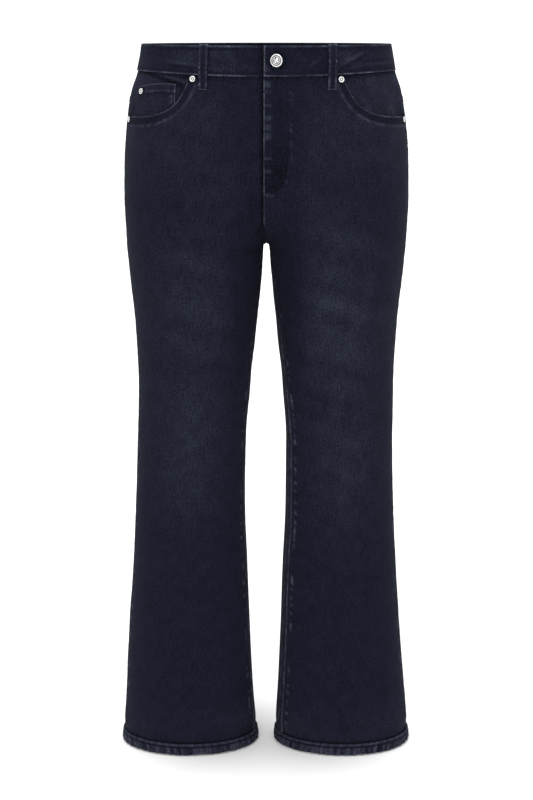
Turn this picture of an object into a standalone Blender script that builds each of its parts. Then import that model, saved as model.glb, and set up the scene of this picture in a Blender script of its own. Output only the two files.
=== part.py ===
"""Bootcut jeans, filled out as they are worn, and hollow.

Metres, +Z up. The front faces -Y and the wearer's left is at +X. The origin is the middle of the waist
opening, level with the waistband's top edge at the sides. Every piece of cloth is a grid with a thickness,
bent onto one form: the outer face of the panels. Lists and sizes marked mm are in millimetres.
"""

import functools
import math

import bmesh
import bpy
import numpy as np
from mathutils import Matrix, Vector

MM = 0.001
RIGHT, LEFT = -1, 1  # the wearer's
FRONT, BACK = -1, 1

# ---- cloth, mm -------------------------------------------------------------------------------------
SEAM_GAP = 0.3
CLOTH = 1.2
BAND_HEIGHT, BAND_THICK, BAND_PROUD = 35.5, 3.0, 1.0
BAND_UNDER, BAND_OVER = 32.0, 3.5  # how far each end passes the centre front
BAND_SINK = 3.6  # the under end lies this far inside the form
HEM_HEIGHT, HEM_THICK, HEM_PROUD = 17.0, 3.4, 1.0
# the waist's front hangs lower than its sides, its top edge a little and its seam more
DIP_EDGE, DIP_SEAM, DIP_FROM, DIP_FULL = 1.2, 5.4, -130.0, -40.0
FLY_OVER, FLY_UNDER, FLY_SINK = 3.7, 5.0, 2.1  # the left front laps over the right one down to the crotch
FLY_SINK_FROM, FLY_SINK_FULL = 15.0, 6.0  # distances from the centre front
LAP_ENDS, LAP_FULL = 19.5, 34.0  # heights above the crotch over which the lap runs out
SINK_ENDS, SINK_FULL = 1.5, 8.5  # and the step under it
OUTSEAM = 10.0  # the outseam lies this far round to the front from the widest point
INSEAM = {RIGHT: 15.0, LEFT: 28.0}  # and each inseam from the innermost
INSEAM_TURN = 70.0  # the inseams come round to there over this height below the crotch
# pocket mouth: along the waist seam, down the outseam, and the power that makes it squarer than an ellipse
SCOOP_LENGTH, SCOOP_DROP, SCOOP_POWER = 98.2, 59.2, 3.3
FACING_SINK, FACING_SINK_DEEP, FACING_PAST = 2.8, 5.4, 26.0
FACING_BEHIND = 8.0  # the facing's edge under the back, at the outseam
COIN_WIDTH, COIN_FROM, COIN_TOP, COIN_TILT = 63.0, 29.0, -55.5, 7.0
FACING_CLEAR = 4.0  # the facing is at its deepest this far outside the coin pocket
COIN_BOTTOM, COIN_SINK = -116.0, 3.5
YOKE_SIDE, YOKE_CENTRE = -78.0, -104.0
POCKET_WIDTH, POCKET_FOOT, POCKET_HEIGHT, POCKET_POINT = 138.0, 118.0, 138.0, 20.0
POCKET_FROM_CENTRE, POCKET_BELOW_YOKE, POCKET_LEAN = 40.0, 9.0, 7.0
LAID_ON = 1.9  # between a panel and what is sewn flat on it
LOOP_WIDTH, LOOP_LENGTH, LOOP_THICK, LOOP_STAND = 11.0, 54.5, 2.0, 2.2
LOOP_FRONT_RIGHT, LOOP_FRONT_LEFT = 82.2, 86.2  # from the centre front, across
LOOP_BACK_FROM_SIDE = 62.0  # round the waist, behind the outseam

# ---- metal, mm -------------------------------------------------------------------------------------
BUTTON_ACROSS, BUTTON_LEVEL, BUTTON_TURN = 13.2, -17.3, 20.0  # it hangs turned, degrees
BUTTON_SEAT, RIVET_SEAT = 1.5, 0.35
# wearer's side, level and distance from the outseam of each rivet
RIVET_COLUMNS = ("name", "side", "level", "along", "out")
RIVET_ROWS = (
    ("rivet_waist_right", RIGHT, -40.4, 115.2, 0.0),
    ("rivet_waist_left", LEFT, -40.8, 114.0, 0.0),
    ("rivet_side_right", RIGHT, -99.5, 19.5, -0.3),
    ("rivet_side_left", LEFT, -99.5, 19.5, -0.3),
    ("rivet_coin", RIGHT, -60.8, 36.5, -COIN_SINK - 0.4),
)

# ---- the form, mm ----------------------------------------------------------------------------------
# One row for each level: the half-widths on the wearer's right and left, the outseam's depth (y), the
# distance from the centre line at which front and back stand out most, how far they do, and the inseams.
CROTCH = -270.0
HEM = -1014.0
RISE_FRONT, RISE_BACK = 130.0, 170.0  # height over which the crotch curves run out
FORM_COLUMNS = (
    "level", "side_right", "side_left", "side_y", "crown", "front", "back", "in_right", "in_left", "in_y",
)
FORM_ROWS = (
    (0.0, 167.2, 167.2, 0.0, 18.0, -80.0, 88.0, 0.0, 0.0, 10.0),
    (-38.0, 174.6, 174.6, 0.0, 20.0, -83.0, 94.0, 0.0, 0.0, 10.0),
    (-62.0, 182.6, 182.6, 0.0, 24.0, -85.0, 100.0, 0.0, 0.0, 10.0),
    (-100.0, 189.3, 189.3, 1.0, 32.0, -87.0, 109.0, 0.0, 0.0, 10.0),
    (-150.0, 194.3, 194.3, 3.0, 50.0, -88.0, 119.0, 0.0, 0.0, 10.0),
    (-205.0, 195.6, 195.5, 4.0, 74.0, -87.0, 122.0, 0.0, 0.0, 10.0),
    (CROTCH, 193.4, 193.3, 4.0, 97.0, -83.0, 112.0, 0.0, 0.0, 10.0),
    (-272.0, 193.3, 193.1, 4.0, 97.1, -82.8, 111.5, 4.3, 4.0, 10.0),
    (-315.0, 190.1, 189.3, 4.0, 98.0, -80.0, 101.0, 6.9, 7.0, 9.0),
    (-379.0, 184.0, 183.0, 3.0, 98.5, -75.0, 86.0, 13.3, 13.0, 6.0),
    (-465.0, 180.8, 179.3, 1.0, 101.0, -69.0, 70.0, 22.5, 22.2, 2.0),
    (-553.0, 183.8, 179.5, 0.0, 105.0, -64.0, 60.0, 29.1, 27.7, -1.0),
    (-643.0, 188.3, 182.8, -1.0, 108.0, -62.0, 57.0, 30.7, 27.4, -2.0),
    (-735.0, 193.7, 188.2, 0.0, 109.0, -61.0, 59.0, 27.8, 23.4, 0.0),
    (-828.0, 201.4, 195.2, 1.0, 111.0, -61.0, 63.0, 24.5, 20.6, 1.0),
    (-923.0, 207.6, 203.8, 2.0, 112.5, -61.0, 66.0, 20.5, 16.9, 2.0),
    (HEM, 214.2, 212.0, 3.0, 113.5, -62.0, 69.0, 13.3, 12.3, 3.0),
)

# ---- how finely the cloth is cut up -----------------------------------------------------------------
SEAT_ROWS, LEG_ROWS = 9, 13
PANEL_COLUMNS = 12
SAMPLES = 64  # points read along a quarter of a section


# ---- numbers ----------------------------------------------------------------------------------------
def ramp(value, start, end):
    """0 at start, 1 at end, and smooth between."""
    t = min(1.0, max(0.0, (value - start) / (end - start)))
    return t * t * (3 - 2 * t)


def mix(a, b, t):
    return a + (b - a) * t


def slopes(x, y):
    """Slopes at the rows for a cubic that never swings past its rows."""
    step = np.diff(y, axis=0) / np.diff(x)[:, None]
    inner = np.where(
        step[:-1] * step[1:] > 0, 2 * step[:-1] * step[1:] / (step[:-1] + step[1:] + 1e-12), 0.0
    )
    return np.vstack([step[:1], inner, step[-1:]])


FORM_UP = np.array(FORM_ROWS[::-1])
FORM_LEVELS = FORM_UP[:, 0]
FORM_SLOPES = slopes(FORM_LEVELS, FORM_UP)


@functools.lru_cache(maxsize=None)
def form(level):
    """The form's row at any level, as a dictionary."""
    row = int(np.clip(np.searchsorted(FORM_LEVELS, level) - 1, 0, len(FORM_LEVELS) - 2))
    height = FORM_LEVELS[row + 1] - FORM_LEVELS[row]
    t = (level - FORM_LEVELS[row]) / height
    values = (
        FORM_UP[row] * (1 + 2 * t) * (1 - t) ** 2
        + FORM_UP[row + 1] * t * t * (3 - 2 * t)
        + FORM_SLOPES[row] * height * t * (1 - t) ** 2
        + FORM_SLOPES[row + 1] * height * t * t * (t - 1)
    )
    return dict(zip(FORM_COLUMNS, values))


# ---- sections of the form ----------------------------------------------------------------------------
@functools.lru_cache(maxsize=None)
def section(side, face, level, reach):
    """A quarter of the section at a level, from the outseam to the inseam, or above the crotch to where
    it is reach from the centre line, negative past it. Columns: x away from the centre, y, distance."""
    at = form(level)
    out = at["side_left"] if side == LEFT else at["side_right"]
    far = at["front"] if face == FRONT else at["back"]
    turn = np.linspace(0, math.pi / 2, SAMPLES)
    outer_x = at["crown"] + (out - at["crown"]) * np.cos(turn)
    outer_y = at["side_y"] + (far - at["side_y"]) * np.sin(turn)
    if level < CROTCH:
        inner = at["in_left"] if side == LEFT else at["in_right"]
        x = at["crown"] - (at["crown"] - inner) * np.sin(turn)
        y = at["in_y"] + (far - at["in_y"]) * np.cos(turn)
    else:
        rise = RISE_FRONT if face == FRONT else RISE_BACK
        lean = math.pi / 2 * (1 - math.sqrt(min(1.0, (level - CROTCH) / rise)))
        valley = at["crown"] * (1 - math.sin(lean))
        x = at["crown"] - (at["crown"] - reach) * np.sin(turn)
        inward = np.clip((at["crown"] - np.hypot(x, valley)) / at["crown"], 0, 1)
        y = at["in_y"] + (far - at["in_y"]) * np.sqrt(1 - inward**2)
    points = np.vstack([np.column_stack([outer_x, outer_y]), np.column_stack([x, y])[1:]])
    distance = np.concatenate([[0], np.cumsum(np.hypot(*np.diff(points, axis=0).T))])
    return np.column_stack([points, distance])


def length(side, face, level, reach=0.0):
    return section(side, face, level, reach)[-1, 2]


def spot(side, face, level, along, reach=0.0):
    """The point of the form at a distance along a section from its widest point, and on past either end."""
    if along < 0:
        face, along, reach = -face, -along, 0.0
    elif level < CROTCH and along > length(side, face, level):
        face, along = -face, length(side, face, level) + length(side, -face, level) - along
    x, y, distance = section(side, face, level, reach).T
    px, py = np.interp(along, distance, x), np.interp(along, distance, y)
    at = form(level)
    forward = max(0.0, (at["side_y"] - py) / (at["side_y"] - at["front"]))
    dip = mix(DIP_EDGE, DIP_SEAM, ramp(level, 0.0, -BAND_HEIGHT)) * ramp(level, DIP_FROM, DIP_FULL)
    dip *= forward**3
    return Vector((side * px, py, level - dip))


def outward(side, face, level, along, reach=0.0):
    """The form's normal there. Just above the crotch, where the sections pinch, it is read 1 mm higher."""
    step, near = 0.5, 1.0
    if CROTCH - step < level < CROTCH + near:
        level = CROTCH + near
    most = length(side, face, level, reach)
    share = along / most
    low, high = (
        spot(side, face, near_by, share * length(side, face, near_by, reach), reach)
        for near_by in (level - step, level + step)
    )
    if level > CROTCH:
        along = min(along, most - step)
    across = spot(side, face, level, along + step, reach) - spot(side, face, level, along - step, reach)
    return (across.cross(high - low) * side * face).normalized()


def on_form(side, face, level, along, out, reach=0.0):
    """A point that lies out from the form, in metres."""
    return (spot(side, face, level, along, reach) + outward(side, face, level, along, reach) * out) * MM


def round_waist(level, travelled, out):
    """The point at a distance round the waist from the centre front, first to the wearer's right."""
    quarters = ((RIGHT, FRONT, True), (RIGHT, BACK, False), (LEFT, BACK, True), (LEFT, FRONT, False))
    whole = sum(length(side, face, level) for side, face, _ in quarters)
    travelled %= whole
    for side, face, inwards in quarters:
        part = length(side, face, level)
        if travelled <= part:
            break
        travelled -= part
    return on_form(side, face, level, part - travelled if inwards else travelled, out)


def round_leg(side, level, turn, out):
    """The point at a share of the way round a leg, from the inseam by the front."""
    front, back = length(side, FRONT, level), length(side, BACK, level)
    travelled = turn * (front + back)
    if travelled < front:
        return on_form(side, FRONT, level, front - travelled, out)
    return on_form(side, BACK, level, travelled - front, out)


# ---- making solids -----------------------------------------------------------------------------------
def material(name, colour, roughness, metallic=0.0):
    made = bpy.data.materials.new(name)
    made.use_nodes = True
    shader = made.node_tree.nodes["Principled BSDF"]
    shader.inputs["Base Color"].default_value = (*colour, 1)
    shader.inputs["Roughness"].default_value = roughness
    shader.inputs["Metallic"].default_value = metallic
    made.diffuse_color = (*colour, 1)
    return made


def add(name, mesh, colour, roughness, metallic=0.0):
    made = bpy.data.objects.new(name, mesh)
    mesh.materials.append(material(name, colour, roughness, metallic))
    garment.objects.link(made)
    return made


def cloth(name, columns, rows, place, closed=False):
    """A grid with a thickness, whose points go to place(across, down, deep), each from 0 to 1."""
    shape = bmesh.new()
    bmesh.ops.create_grid(shape, x_segments=columns, y_segments=rows, size=0.5)
    pulled = bmesh.ops.extrude_face_region(shape, geom=shape.faces[:])["geom"]
    bmesh.ops.translate(
        shape, verts=[part for part in pulled if isinstance(part, bmesh.types.BMVert)], vec=(0, 0, 1)
    )
    bmesh.ops.recalc_face_normals(shape, faces=shape.faces[:])
    if closed:
        ends = [
            face for face in shape.faces if abs(sum(v.co.x for v in face.verts)) > len(face.verts) / 2 - 0.01
        ]
        bmesh.ops.delete(shape, geom=ends, context="FACES_ONLY")
    for vertex in shape.verts:
        across, down, deep = vertex.co.x + 0.5, 0.5 - vertex.co.y, vertex.co.z
        vertex.co = place(min(1, max(0, across)), min(1, max(0, down)), deep)
    if closed:
        bmesh.ops.remove_doubles(shape, verts=shape.verts[:], dist=0.01 * MM)
    if shape.calc_volume(signed=True) < 0:
        bmesh.ops.reverse_faces(shape, faces=shape.faces[:])
    mesh = bpy.data.meshes.new(name)
    shape.to_mesh(mesh)
    shape.free()
    return add(name, mesh, DENIM, 0.85)


def turned(name, profile, steps, colour, roughness):
    """A turned piece on +Z: its profile's points, mm, run down the outside from the axis to the axis."""
    mesh = bpy.data.meshes.new(name)
    mesh.from_pydata(
        [(r * MM, 0, z * MM) for r, z in profile], [(i, i + 1) for i in range(len(profile) - 1)], []
    )
    made = add(name, mesh, colour, roughness, 1.0)
    screw = made.modifiers.new("turn", "SCREW")
    screw.steps = screw.render_steps = steps
    screw.use_merge_vertices = True
    screw.merge_threshold = 0.00001
    return made


def seat(piece, point, normal):
    """Stands a turned piece on a point, its axis along the normal."""
    piece.matrix_world = Matrix.Translation(point) @ normal.to_track_quat("Z", "Y").to_matrix().to_4x4()


# ---- front panels ------------------------------------------------------------------------------------
PANEL_TOP = -BAND_HEIGHT - SEAM_GAP
HEM_TOP = HEM + HEM_HEIGHT
SCOOP_END = PANEL_TOP - SCOOP_DROP


def row_levels(top):
    """Levels from a top edge to the hem, closest together at the crotch."""
    seat_part = [CROTCH + (top - CROTCH) * (1 - k / SEAT_ROWS) ** 2 for k in range(SEAT_ROWS)]
    drop = CROTCH - HEM_TOP - SEAM_GAP
    return seat_part + [CROTCH - drop * (k / LEG_ROWS) ** 2 for k in range(LEG_ROWS + 1)]


def fly_reach(side, level):
    """Where a front panel ends: past the centre line where it laps or is lapped, short of it below."""
    lap = FLY_OVER if side == LEFT else FLY_UNDER
    return mix(SEAM_GAP / 2, -lap, ramp(level, CROTCH + LAP_ENDS, CROTCH + LAP_FULL))


def inseam_shift(side, level):
    return INSEAM[side] * ramp(level, CROTCH, CROTCH - INSEAM_TURN)


def fly_columns(side, level, start, across):
    """Distances along a row of a front panel: evenly spaced below the crotch, and above it with the last
    two columns beside the fly, where the cloth steps down under its lap."""
    reach = fly_reach(side, level)
    end = length(side, FRONT, level, reach)
    if level < CROTCH:
        end -= inseam_shift(side, level) + SEAM_GAP / 2
    even = mix(start, end, across)
    centre = length(side, FRONT, level)
    column = round(across * PANEL_COLUMNS)
    beside = {PANEL_COLUMNS: end, PANEL_COLUMNS - 1: centre - FLY_SINK_FULL}.get(
        column, mix(start, centre - FLY_SINK_FROM, column / (PANEL_COLUMNS - 2))
    )
    return mix(even, beside, ramp(level, CROTCH + SINK_ENDS, CROTCH + LAP_ENDS))


def other_share(share):
    """On the pocket mouth's curve, how far down it is at a share of the way along, or along at one down."""
    return (1 - share**SCOOP_POWER) ** (1 / SCOOP_POWER)


# rows down the mouth, as shares of its drop: evenly down its steep part, then evenly along its flat one
MOUTH_ROWS = (0.0, 0.24, 0.51, other_share(0.83), other_share(0.61), other_share(0.33))


def front_panel(side):
    levels = [PANEL_TOP - SCOOP_DROP * down for down in MOUTH_ROWS] + row_levels(SCOOP_END)

    def place(across, down, deep):
        level = levels[round(down * (len(levels) - 1))]
        reach = fly_reach(side, level)
        start = OUTSEAM + SEAM_GAP / 2
        if level > SCOOP_END:
            start = OUTSEAM + SCOOP_LENGTH * other_share((PANEL_TOP - level) / SCOOP_DROP)
        along = fly_columns(side, level, start, across)
        sink = 0.0
        if side == RIGHT:
            from_centre = length(side, FRONT, level) - along
            sink = FLY_SINK * ramp(from_centre, FLY_SINK_FROM, FLY_SINK_FULL)
            sink *= ramp(level, CROTCH + SINK_ENDS, CROTCH + SINK_FULL)
        return clear_of_centre(on_form(side, FRONT, level, along, -sink - CLOTH * deep, reach), side, level)

    return cloth(f"front_{SIDE_NAMES[side]}", PANEL_COLUMNS, len(levels) - 1, place)


def clear_of_centre(point, side, level):
    """At the crotch's corner, keeps a panel its half of the seam's gap from the centre plane."""
    if level < CROTCH + SEAM_GAP and abs(point.x) < SEAM_GAP / 2 * MM:
        point.x = side * SEAM_GAP / 2 * MM
    return point


# ---- back panels and yokes ---------------------------------------------------------------------------
def yoke_seam(share):
    """The yoke seam's level, from the outseam, 0, to the centre back, 1."""
    return mix(YOKE_SIDE, YOKE_CENTRE, share**1.3)


def back_panel(side):
    below = np.array(row_levels(-1.0))

    def place(across, down, deep):
        row = round(down * (len(below) - 1))
        level = float(below[row])
        if row < SEAT_ROWS:
            level = CROTCH + (yoke_seam(across) - SEAM_GAP - CROTCH) * (1 - row / SEAT_ROWS) ** 2
        reach = SEAM_GAP / 2
        end = length(side, BACK, level, reach)
        if level < CROTCH:
            end += inseam_shift(side, level) - SEAM_GAP / 2
        along = mix(-OUTSEAM + SEAM_GAP / 2, end, across)
        return clear_of_centre(on_form(side, BACK, level, along, -CLOTH * deep, reach), side, level)

    return cloth(f"back_{SIDE_NAMES[side]}", PANEL_COLUMNS, len(below) - 1, place)


def yoke(side):
    def place(across, down, deep):
        level = mix(PANEL_TOP, yoke_seam(across), down)
        reach = SEAM_GAP / 2
        along = mix(-OUTSEAM + SEAM_GAP / 2, length(side, BACK, level, reach), across)
        return on_form(side, BACK, level, along, -CLOTH * deep, reach)

    return cloth(f"yoke_{SIDE_NAMES[side]}", PANEL_COLUMNS, 2, place)


# ---- pockets -----------------------------------------------------------------------------------------
def facing_sink(along):
    """How far inside the form the cloth behind the pocket's mouth lies: deeper inboard."""
    return mix(FACING_SINK, FACING_SINK_DEEP, ramp(along, OUTSEAM - FACING_BEHIND, COIN_FROM - FACING_CLEAR))


def hip_facing(side):
    bottom = SCOOP_END - FACING_PAST
    columns, rows = 8, 6

    def place(across, down, deep):
        level = mix(PANEL_TOP, bottom, down)
        end = OUTSEAM + (SCOOP_LENGTH + FACING_PAST) * math.sqrt(1 - 0.75 * down**3)
        along = mix(OUTSEAM - FACING_BEHIND, end, across)
        return on_form(side, FRONT, level, along, -facing_sink(along) - CLOTH * deep)

    return cloth(f"hip_facing_{SIDE_NAMES[side]}", columns, rows, place)


def coin_pocket():
    columns, rows = 4, 4

    def place(across, down, deep):
        level = mix(COIN_TOP + COIN_TILT * across, COIN_BOTTOM, down)
        along = COIN_FROM + COIN_WIDTH * across
        return on_form(RIGHT, FRONT, level, along, -COIN_SINK - 1.0 * deep)

    return cloth("coin_pocket", columns, rows, place)


def back_pocket(side):
    columns, rows = 8, 6

    def place(across, down, deep):
        """Across runs from the centre back outwards."""
        width = mix(POCKET_WIDTH, POCKET_FOOT, down)
        inset = (POCKET_WIDTH - width) / 2 + POCKET_FROM_CENTRE
        from_centre = inset + width * across
        top = YOKE_CENTRE - POCKET_BELOW_YOKE + POCKET_LEAN * across
        foot = top - POCKET_HEIGHT + POCKET_POINT * abs(2 * across - 1)
        level = mix(top, foot, down)
        along = length(side, BACK, level) - from_centre
        return on_form(side, BACK, level, along, LAID_ON + CLOTH * (1 - deep))

    return cloth(f"back_pocket_{SIDE_NAMES[side]}", columns, rows, place)


# ---- waistband, loops and hems -----------------------------------------------------------------------
def waistband():
    columns, rows = 52, 2
    whole = sum(length(side, face, 0.0) for side in (RIGHT, LEFT) for face in (FRONT, BACK))

    def place(across, down, deep):
        level = -BAND_HEIGHT * down
        ring = sum(length(side, face, level) for side in (RIGHT, LEFT) for face in (FRONT, BACK))
        travelled = mix(-BAND_UNDER, whole + BAND_OVER, across)
        if travelled > 0:
            travelled *= ring / whole
        sink = BAND_SINK * ramp(travelled, 34.0, BAND_OVER + 4.0)
        return round_waist(level, travelled, BAND_PROUD - sink - BAND_THICK * deep)

    return cloth("waistband", columns, rows, place)


def belt_loop(name, travelled):
    """A strip that lies on the cloth at both ends and stands off the waistband between them."""
    columns, rows = 2, 9
    band_share = BAND_HEIGHT / LOOP_LENGTH

    def place(across, down, deep):
        level = -LOOP_LENGTH * down
        stand = LOOP_STAND * math.sin(math.pi * min(1, down / band_share / 1.08)) ** 0.6
        base = mix(BAND_PROUD + 0.5, 0.6, ramp(down, band_share * 1.08, band_share * 1.3)) + stand
        at = travelled + (across - 0.5) * LOOP_WIDTH
        ring = sum(length(side, face, level) for side in (RIGHT, LEFT) for face in (FRONT, BACK))
        if travelled > ring / 4:
            at += (ring - WAIST) * (1 if travelled > ring * 3 / 4 else 0.5)
        return round_waist(level, at, base + LOOP_THICK * (1 - deep))

    return cloth(name, columns, rows, place)


def hem(side):
    columns, rows = 30, 1

    def place(across, down, deep):
        level = mix(HEM_TOP, HEM, down)
        return round_leg(side, level, across % 1.0, HEM_PROUD - HEM_THICK * deep)

    return cloth(f"hem_{SIDE_NAMES[side]}", columns, rows, place, closed=True)


# ---- metal -------------------------------------------------------------------------------------------
def waist_button():
    profile = (
        (0, 4.3), (2.8, 4.1), (5.5, 3.6), (6.0, 4.1), (7.3, 4.3), (8.3, 3.7), (8.6, 3.0), (8.1, 2.4),
        (3.4, 2.2), (3.1, 1.7), (3.1, 0), (0, 0),
    )
    made = turned("waist_button", profile, 24, STEEL, 0.3)
    point = round_waist(BUTTON_LEVEL, -BUTTON_ACROSS, BAND_PROUD + BUTTON_SEAT)
    seat(made, point, Matrix.Rotation(math.radians(-BUTTON_TURN), 3, "Z") @ Vector((0, -1, 0)))


def rivet(name, side, level, along, out):
    profile = (
        (0, 1.3), (0.9, 1.25), (1.5, 0.8), (2.2, 0.8), (2.9, 1.5), (3.7, 1.4), (4.2, 0.8), (4.25, 0), (0, 0),
    )
    made = turned(name, profile, 14, STEEL, 0.3)
    point = on_form(side, FRONT, level, along, out + RIVET_SEAT)
    seat(made, point, outward(side, FRONT, level, along))


# ---- the garment -------------------------------------------------------------------------------------
for old in list(bpy.data.objects):
    bpy.data.objects.remove(old)
garment = bpy.data.collections.new("bootcut_jeans")
bpy.context.scene.collection.children.link(garment)

DENIM = (0.0137, 0.0152, 0.0273)
STEEL = (0.62, 0.63, 0.65)
SIDE_NAMES = {RIGHT: "right", LEFT: "left"}
WAIST = sum(length(side, face, 0.0) for side in (RIGHT, LEFT) for face in (FRONT, BACK))

for wearer_side in (RIGHT, LEFT):
    front_panel(wearer_side)
    back_panel(wearer_side)
    yoke(wearer_side)
    hip_facing(wearer_side)
    back_pocket(wearer_side)
    hem(wearer_side)
coin_pocket()
waistband()

QUARTER_FRONT = length(RIGHT, FRONT, 0.0)
for loop_name, loop_at in (
    ("belt_loop_front_right", LOOP_FRONT_RIGHT),
    ("belt_loop_side_right", QUARTER_FRONT + LOOP_BACK_FROM_SIDE),
    ("belt_loop_back", WAIST / 2),
    ("belt_loop_side_left", WAIST - QUARTER_FRONT - LOOP_BACK_FROM_SIDE),
    ("belt_loop_front_left", WAIST - LOOP_FRONT_LEFT),
):
    belt_loop(loop_name, loop_at)

waist_button()
for rivet_row in RIVET_ROWS:
    rivet(**dict(zip(RIVET_COLUMNS, rivet_row)))
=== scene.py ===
# %% [markdown]
# # Bootcut jeans, filled out as they are worn
#
# A pair of jeans is about a dozen pieces of denim sewn edge to edge. Each piece here is a fine grid that is
# bent onto one shared form, so that neighbours meet at their seams. The form is the same as the CAD model's:
# a short table of sections from the waist to the hems. What makes it look like cloth comes on top: rolled
# seam edges, puckers where a seam draws the cloth in, a few creases, rows of stitches, and a twill whose
# dye is worn lighter on every raised edge.

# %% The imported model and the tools
import math

import bmesh
import bpy
import numpy as np
from mathutils import Matrix, Vector


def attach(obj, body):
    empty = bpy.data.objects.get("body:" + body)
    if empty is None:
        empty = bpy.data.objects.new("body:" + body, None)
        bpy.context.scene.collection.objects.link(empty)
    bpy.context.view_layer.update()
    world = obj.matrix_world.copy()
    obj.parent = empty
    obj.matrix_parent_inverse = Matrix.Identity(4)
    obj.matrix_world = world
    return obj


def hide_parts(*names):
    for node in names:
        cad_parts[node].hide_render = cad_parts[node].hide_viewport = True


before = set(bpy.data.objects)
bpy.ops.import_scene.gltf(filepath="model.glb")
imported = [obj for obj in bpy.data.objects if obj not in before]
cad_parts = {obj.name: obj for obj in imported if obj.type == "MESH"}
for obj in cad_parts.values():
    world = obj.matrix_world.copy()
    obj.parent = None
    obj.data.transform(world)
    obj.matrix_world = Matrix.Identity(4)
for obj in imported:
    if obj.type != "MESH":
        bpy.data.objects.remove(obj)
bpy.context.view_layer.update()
print("nodes in the packed model:", len(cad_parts))

# %% [markdown]
# ## The form
#
# Every row of the table is a level. It gives how wide the jeans are on each side, how far they stand out in
# front and behind, and where each leg's inner line is. A smooth cubic joins the rows, which is how a
# tailor's curve is drawn through measured points. Sizes are in millimetres, as a maker writes them, and are
# turned into metres only when a mesh is made.

# %% The form's table
MM = 0.001
RIGHT, LEFT = -1, 1  # the wearer's
FRONT, BACK = -1, 1
SIDE_NAMES = {RIGHT: "right", LEFT: "left"}
CROTCH, HEM = -270.0, -1014.0
RISE_FRONT, RISE_BACK = 130.0, 170.0  # heights over which the crotch curves run out
BAND_HEIGHT, BAND_THICK, BAND_PROUD = 35.5, 3.0, 1.0
# the waist's front hangs lower than its sides, its top edge a little and its seam more
DIP_EDGE, DIP_SEAM, DIP_FROM, DIP_FULL = 1.2, 5.4, -130.0, -40.0
FORM_COLUMNS = (
    "level", "side_right", "side_left", "side_y", "crown", "front", "back", "in_right", "in_left", "in_y",
)
FORM_ROWS = (
    (0.0, 167.2, 167.2, 0.0, 18.0, -80.0, 88.0, 0.0, 0.0, 10.0),
    (-38.0, 174.6, 174.6, 0.0, 20.0, -83.0, 94.0, 0.0, 0.0, 10.0),
    (-62.0, 182.6, 182.6, 0.0, 24.0, -85.0, 100.0, 0.0, 0.0, 10.0),
    (-100.0, 189.3, 189.3, 1.0, 32.0, -87.0, 109.0, 0.0, 0.0, 10.0),
    (-150.0, 194.3, 194.3, 3.0, 50.0, -88.0, 119.0, 0.0, 0.0, 10.0),
    (-205.0, 195.6, 195.5, 4.0, 74.0, -87.0, 122.0, 0.0, 0.0, 10.0),
    (CROTCH, 193.4, 193.3, 4.0, 97.0, -83.0, 112.0, 0.0, 0.0, 10.0),
    (-272.0, 193.3, 193.1, 4.0, 97.1, -82.8, 111.5, 4.3, 4.0, 10.0),
    (-315.0, 190.1, 189.3, 4.0, 98.0, -80.0, 101.0, 6.9, 7.0, 9.0),
    (-379.0, 184.0, 183.0, 3.0, 98.5, -75.0, 86.0, 13.3, 13.0, 6.0),
    (-465.0, 180.8, 179.3, 1.0, 101.0, -69.0, 70.0, 22.5, 22.2, 2.0),
    (-553.0, 183.8, 179.5, 0.0, 105.0, -64.0, 60.0, 29.1, 27.7, -1.0),
    (-643.0, 188.3, 182.8, -1.0, 108.0, -62.0, 57.0, 30.7, 27.4, -2.0),
    (-735.0, 193.7, 188.2, 0.0, 109.0, -61.0, 59.0, 27.8, 23.4, 0.0),
    (-828.0, 201.4, 195.2, 1.0, 111.0, -61.0, 63.0, 24.5, 20.6, 1.0),
    (-923.0, 207.6, 203.8, 2.0, 112.5, -61.0, 66.0, 20.5, 16.9, 2.0),
    (HEM, 214.2, 212.0, 3.0, 113.5, -62.0, 69.0, 13.3, 12.3, 3.0),
)
FORM_UP = np.array(FORM_ROWS[::-1])


def slopes(x, y):
    """Slopes at the rows for a cubic that never swings past its rows."""
    step = np.diff(y, axis=0) / np.diff(x)[:, None]
    both = step[:-1] + step[1:] + 1e-12
    inner = np.where(step[:-1] * step[1:] > 0, 2 * step[:-1] * step[1:] / both, 0.0)
    return np.vstack([step[:1], inner, step[-1:]])


FORM_SLOPES = slopes(FORM_UP[:, 0], FORM_UP)


def form(level):
    """The form's columns at an array of levels, by name."""
    levels = FORM_UP[:, 0]
    row = np.clip(np.searchsorted(levels, level) - 1, 0, len(levels) - 2)
    height = (levels[row + 1] - levels[row])[:, None]
    t = (level - levels[row])[:, None] / height
    values = (
        FORM_UP[row] * (1 + 2 * t) * (1 - t) ** 2
        + FORM_UP[row + 1] * t * t * (3 - 2 * t)
        + FORM_SLOPES[row] * height * t * (1 - t) ** 2
        + FORM_SLOPES[row + 1] * height * t * t * (t - 1)
    )
    return dict(zip(FORM_COLUMNS, values.T))


def ramp(value, start, end):
    """0 at start, 1 at end, and smooth between. It takes arrays."""
    t = np.clip((np.asarray(value, float) - start) / (end - start), 0, 1)
    return t * t * (3 - 2 * t)


def mix(a, b, t):
    return a + (b - a) * t


def hump(distance, width, power=2):
    """1 at no distance, and smoothly down to nothing at about twice the width. Power 4 has a flat top."""
    return np.exp(-((distance / width) ** power))


# %% [markdown]
# ## A map of each side
#
# Cloth is placed by two numbers: a level, and a distance round the body from the widest point of the side,
# negative to the front. To turn thousands of such pairs into points quickly, each side's sections are worked
# out once, at levels that crowd together at the crotch, and kept as a map that is then read between its
# points. Above the crotch a side ends at the centre line, and below it the leg closes at the inseam, so each
# side has two maps.

# %% Sections, and the maps made from them
ARC_POINTS = 80  # in each arc of a section
MAP_ROWS = {True: 220, False: 420}  # above the crotch, and below it
MAP_STEPS, MAP_PAST = 130, 26  # steps along each face, and how many go on past its end


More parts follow.
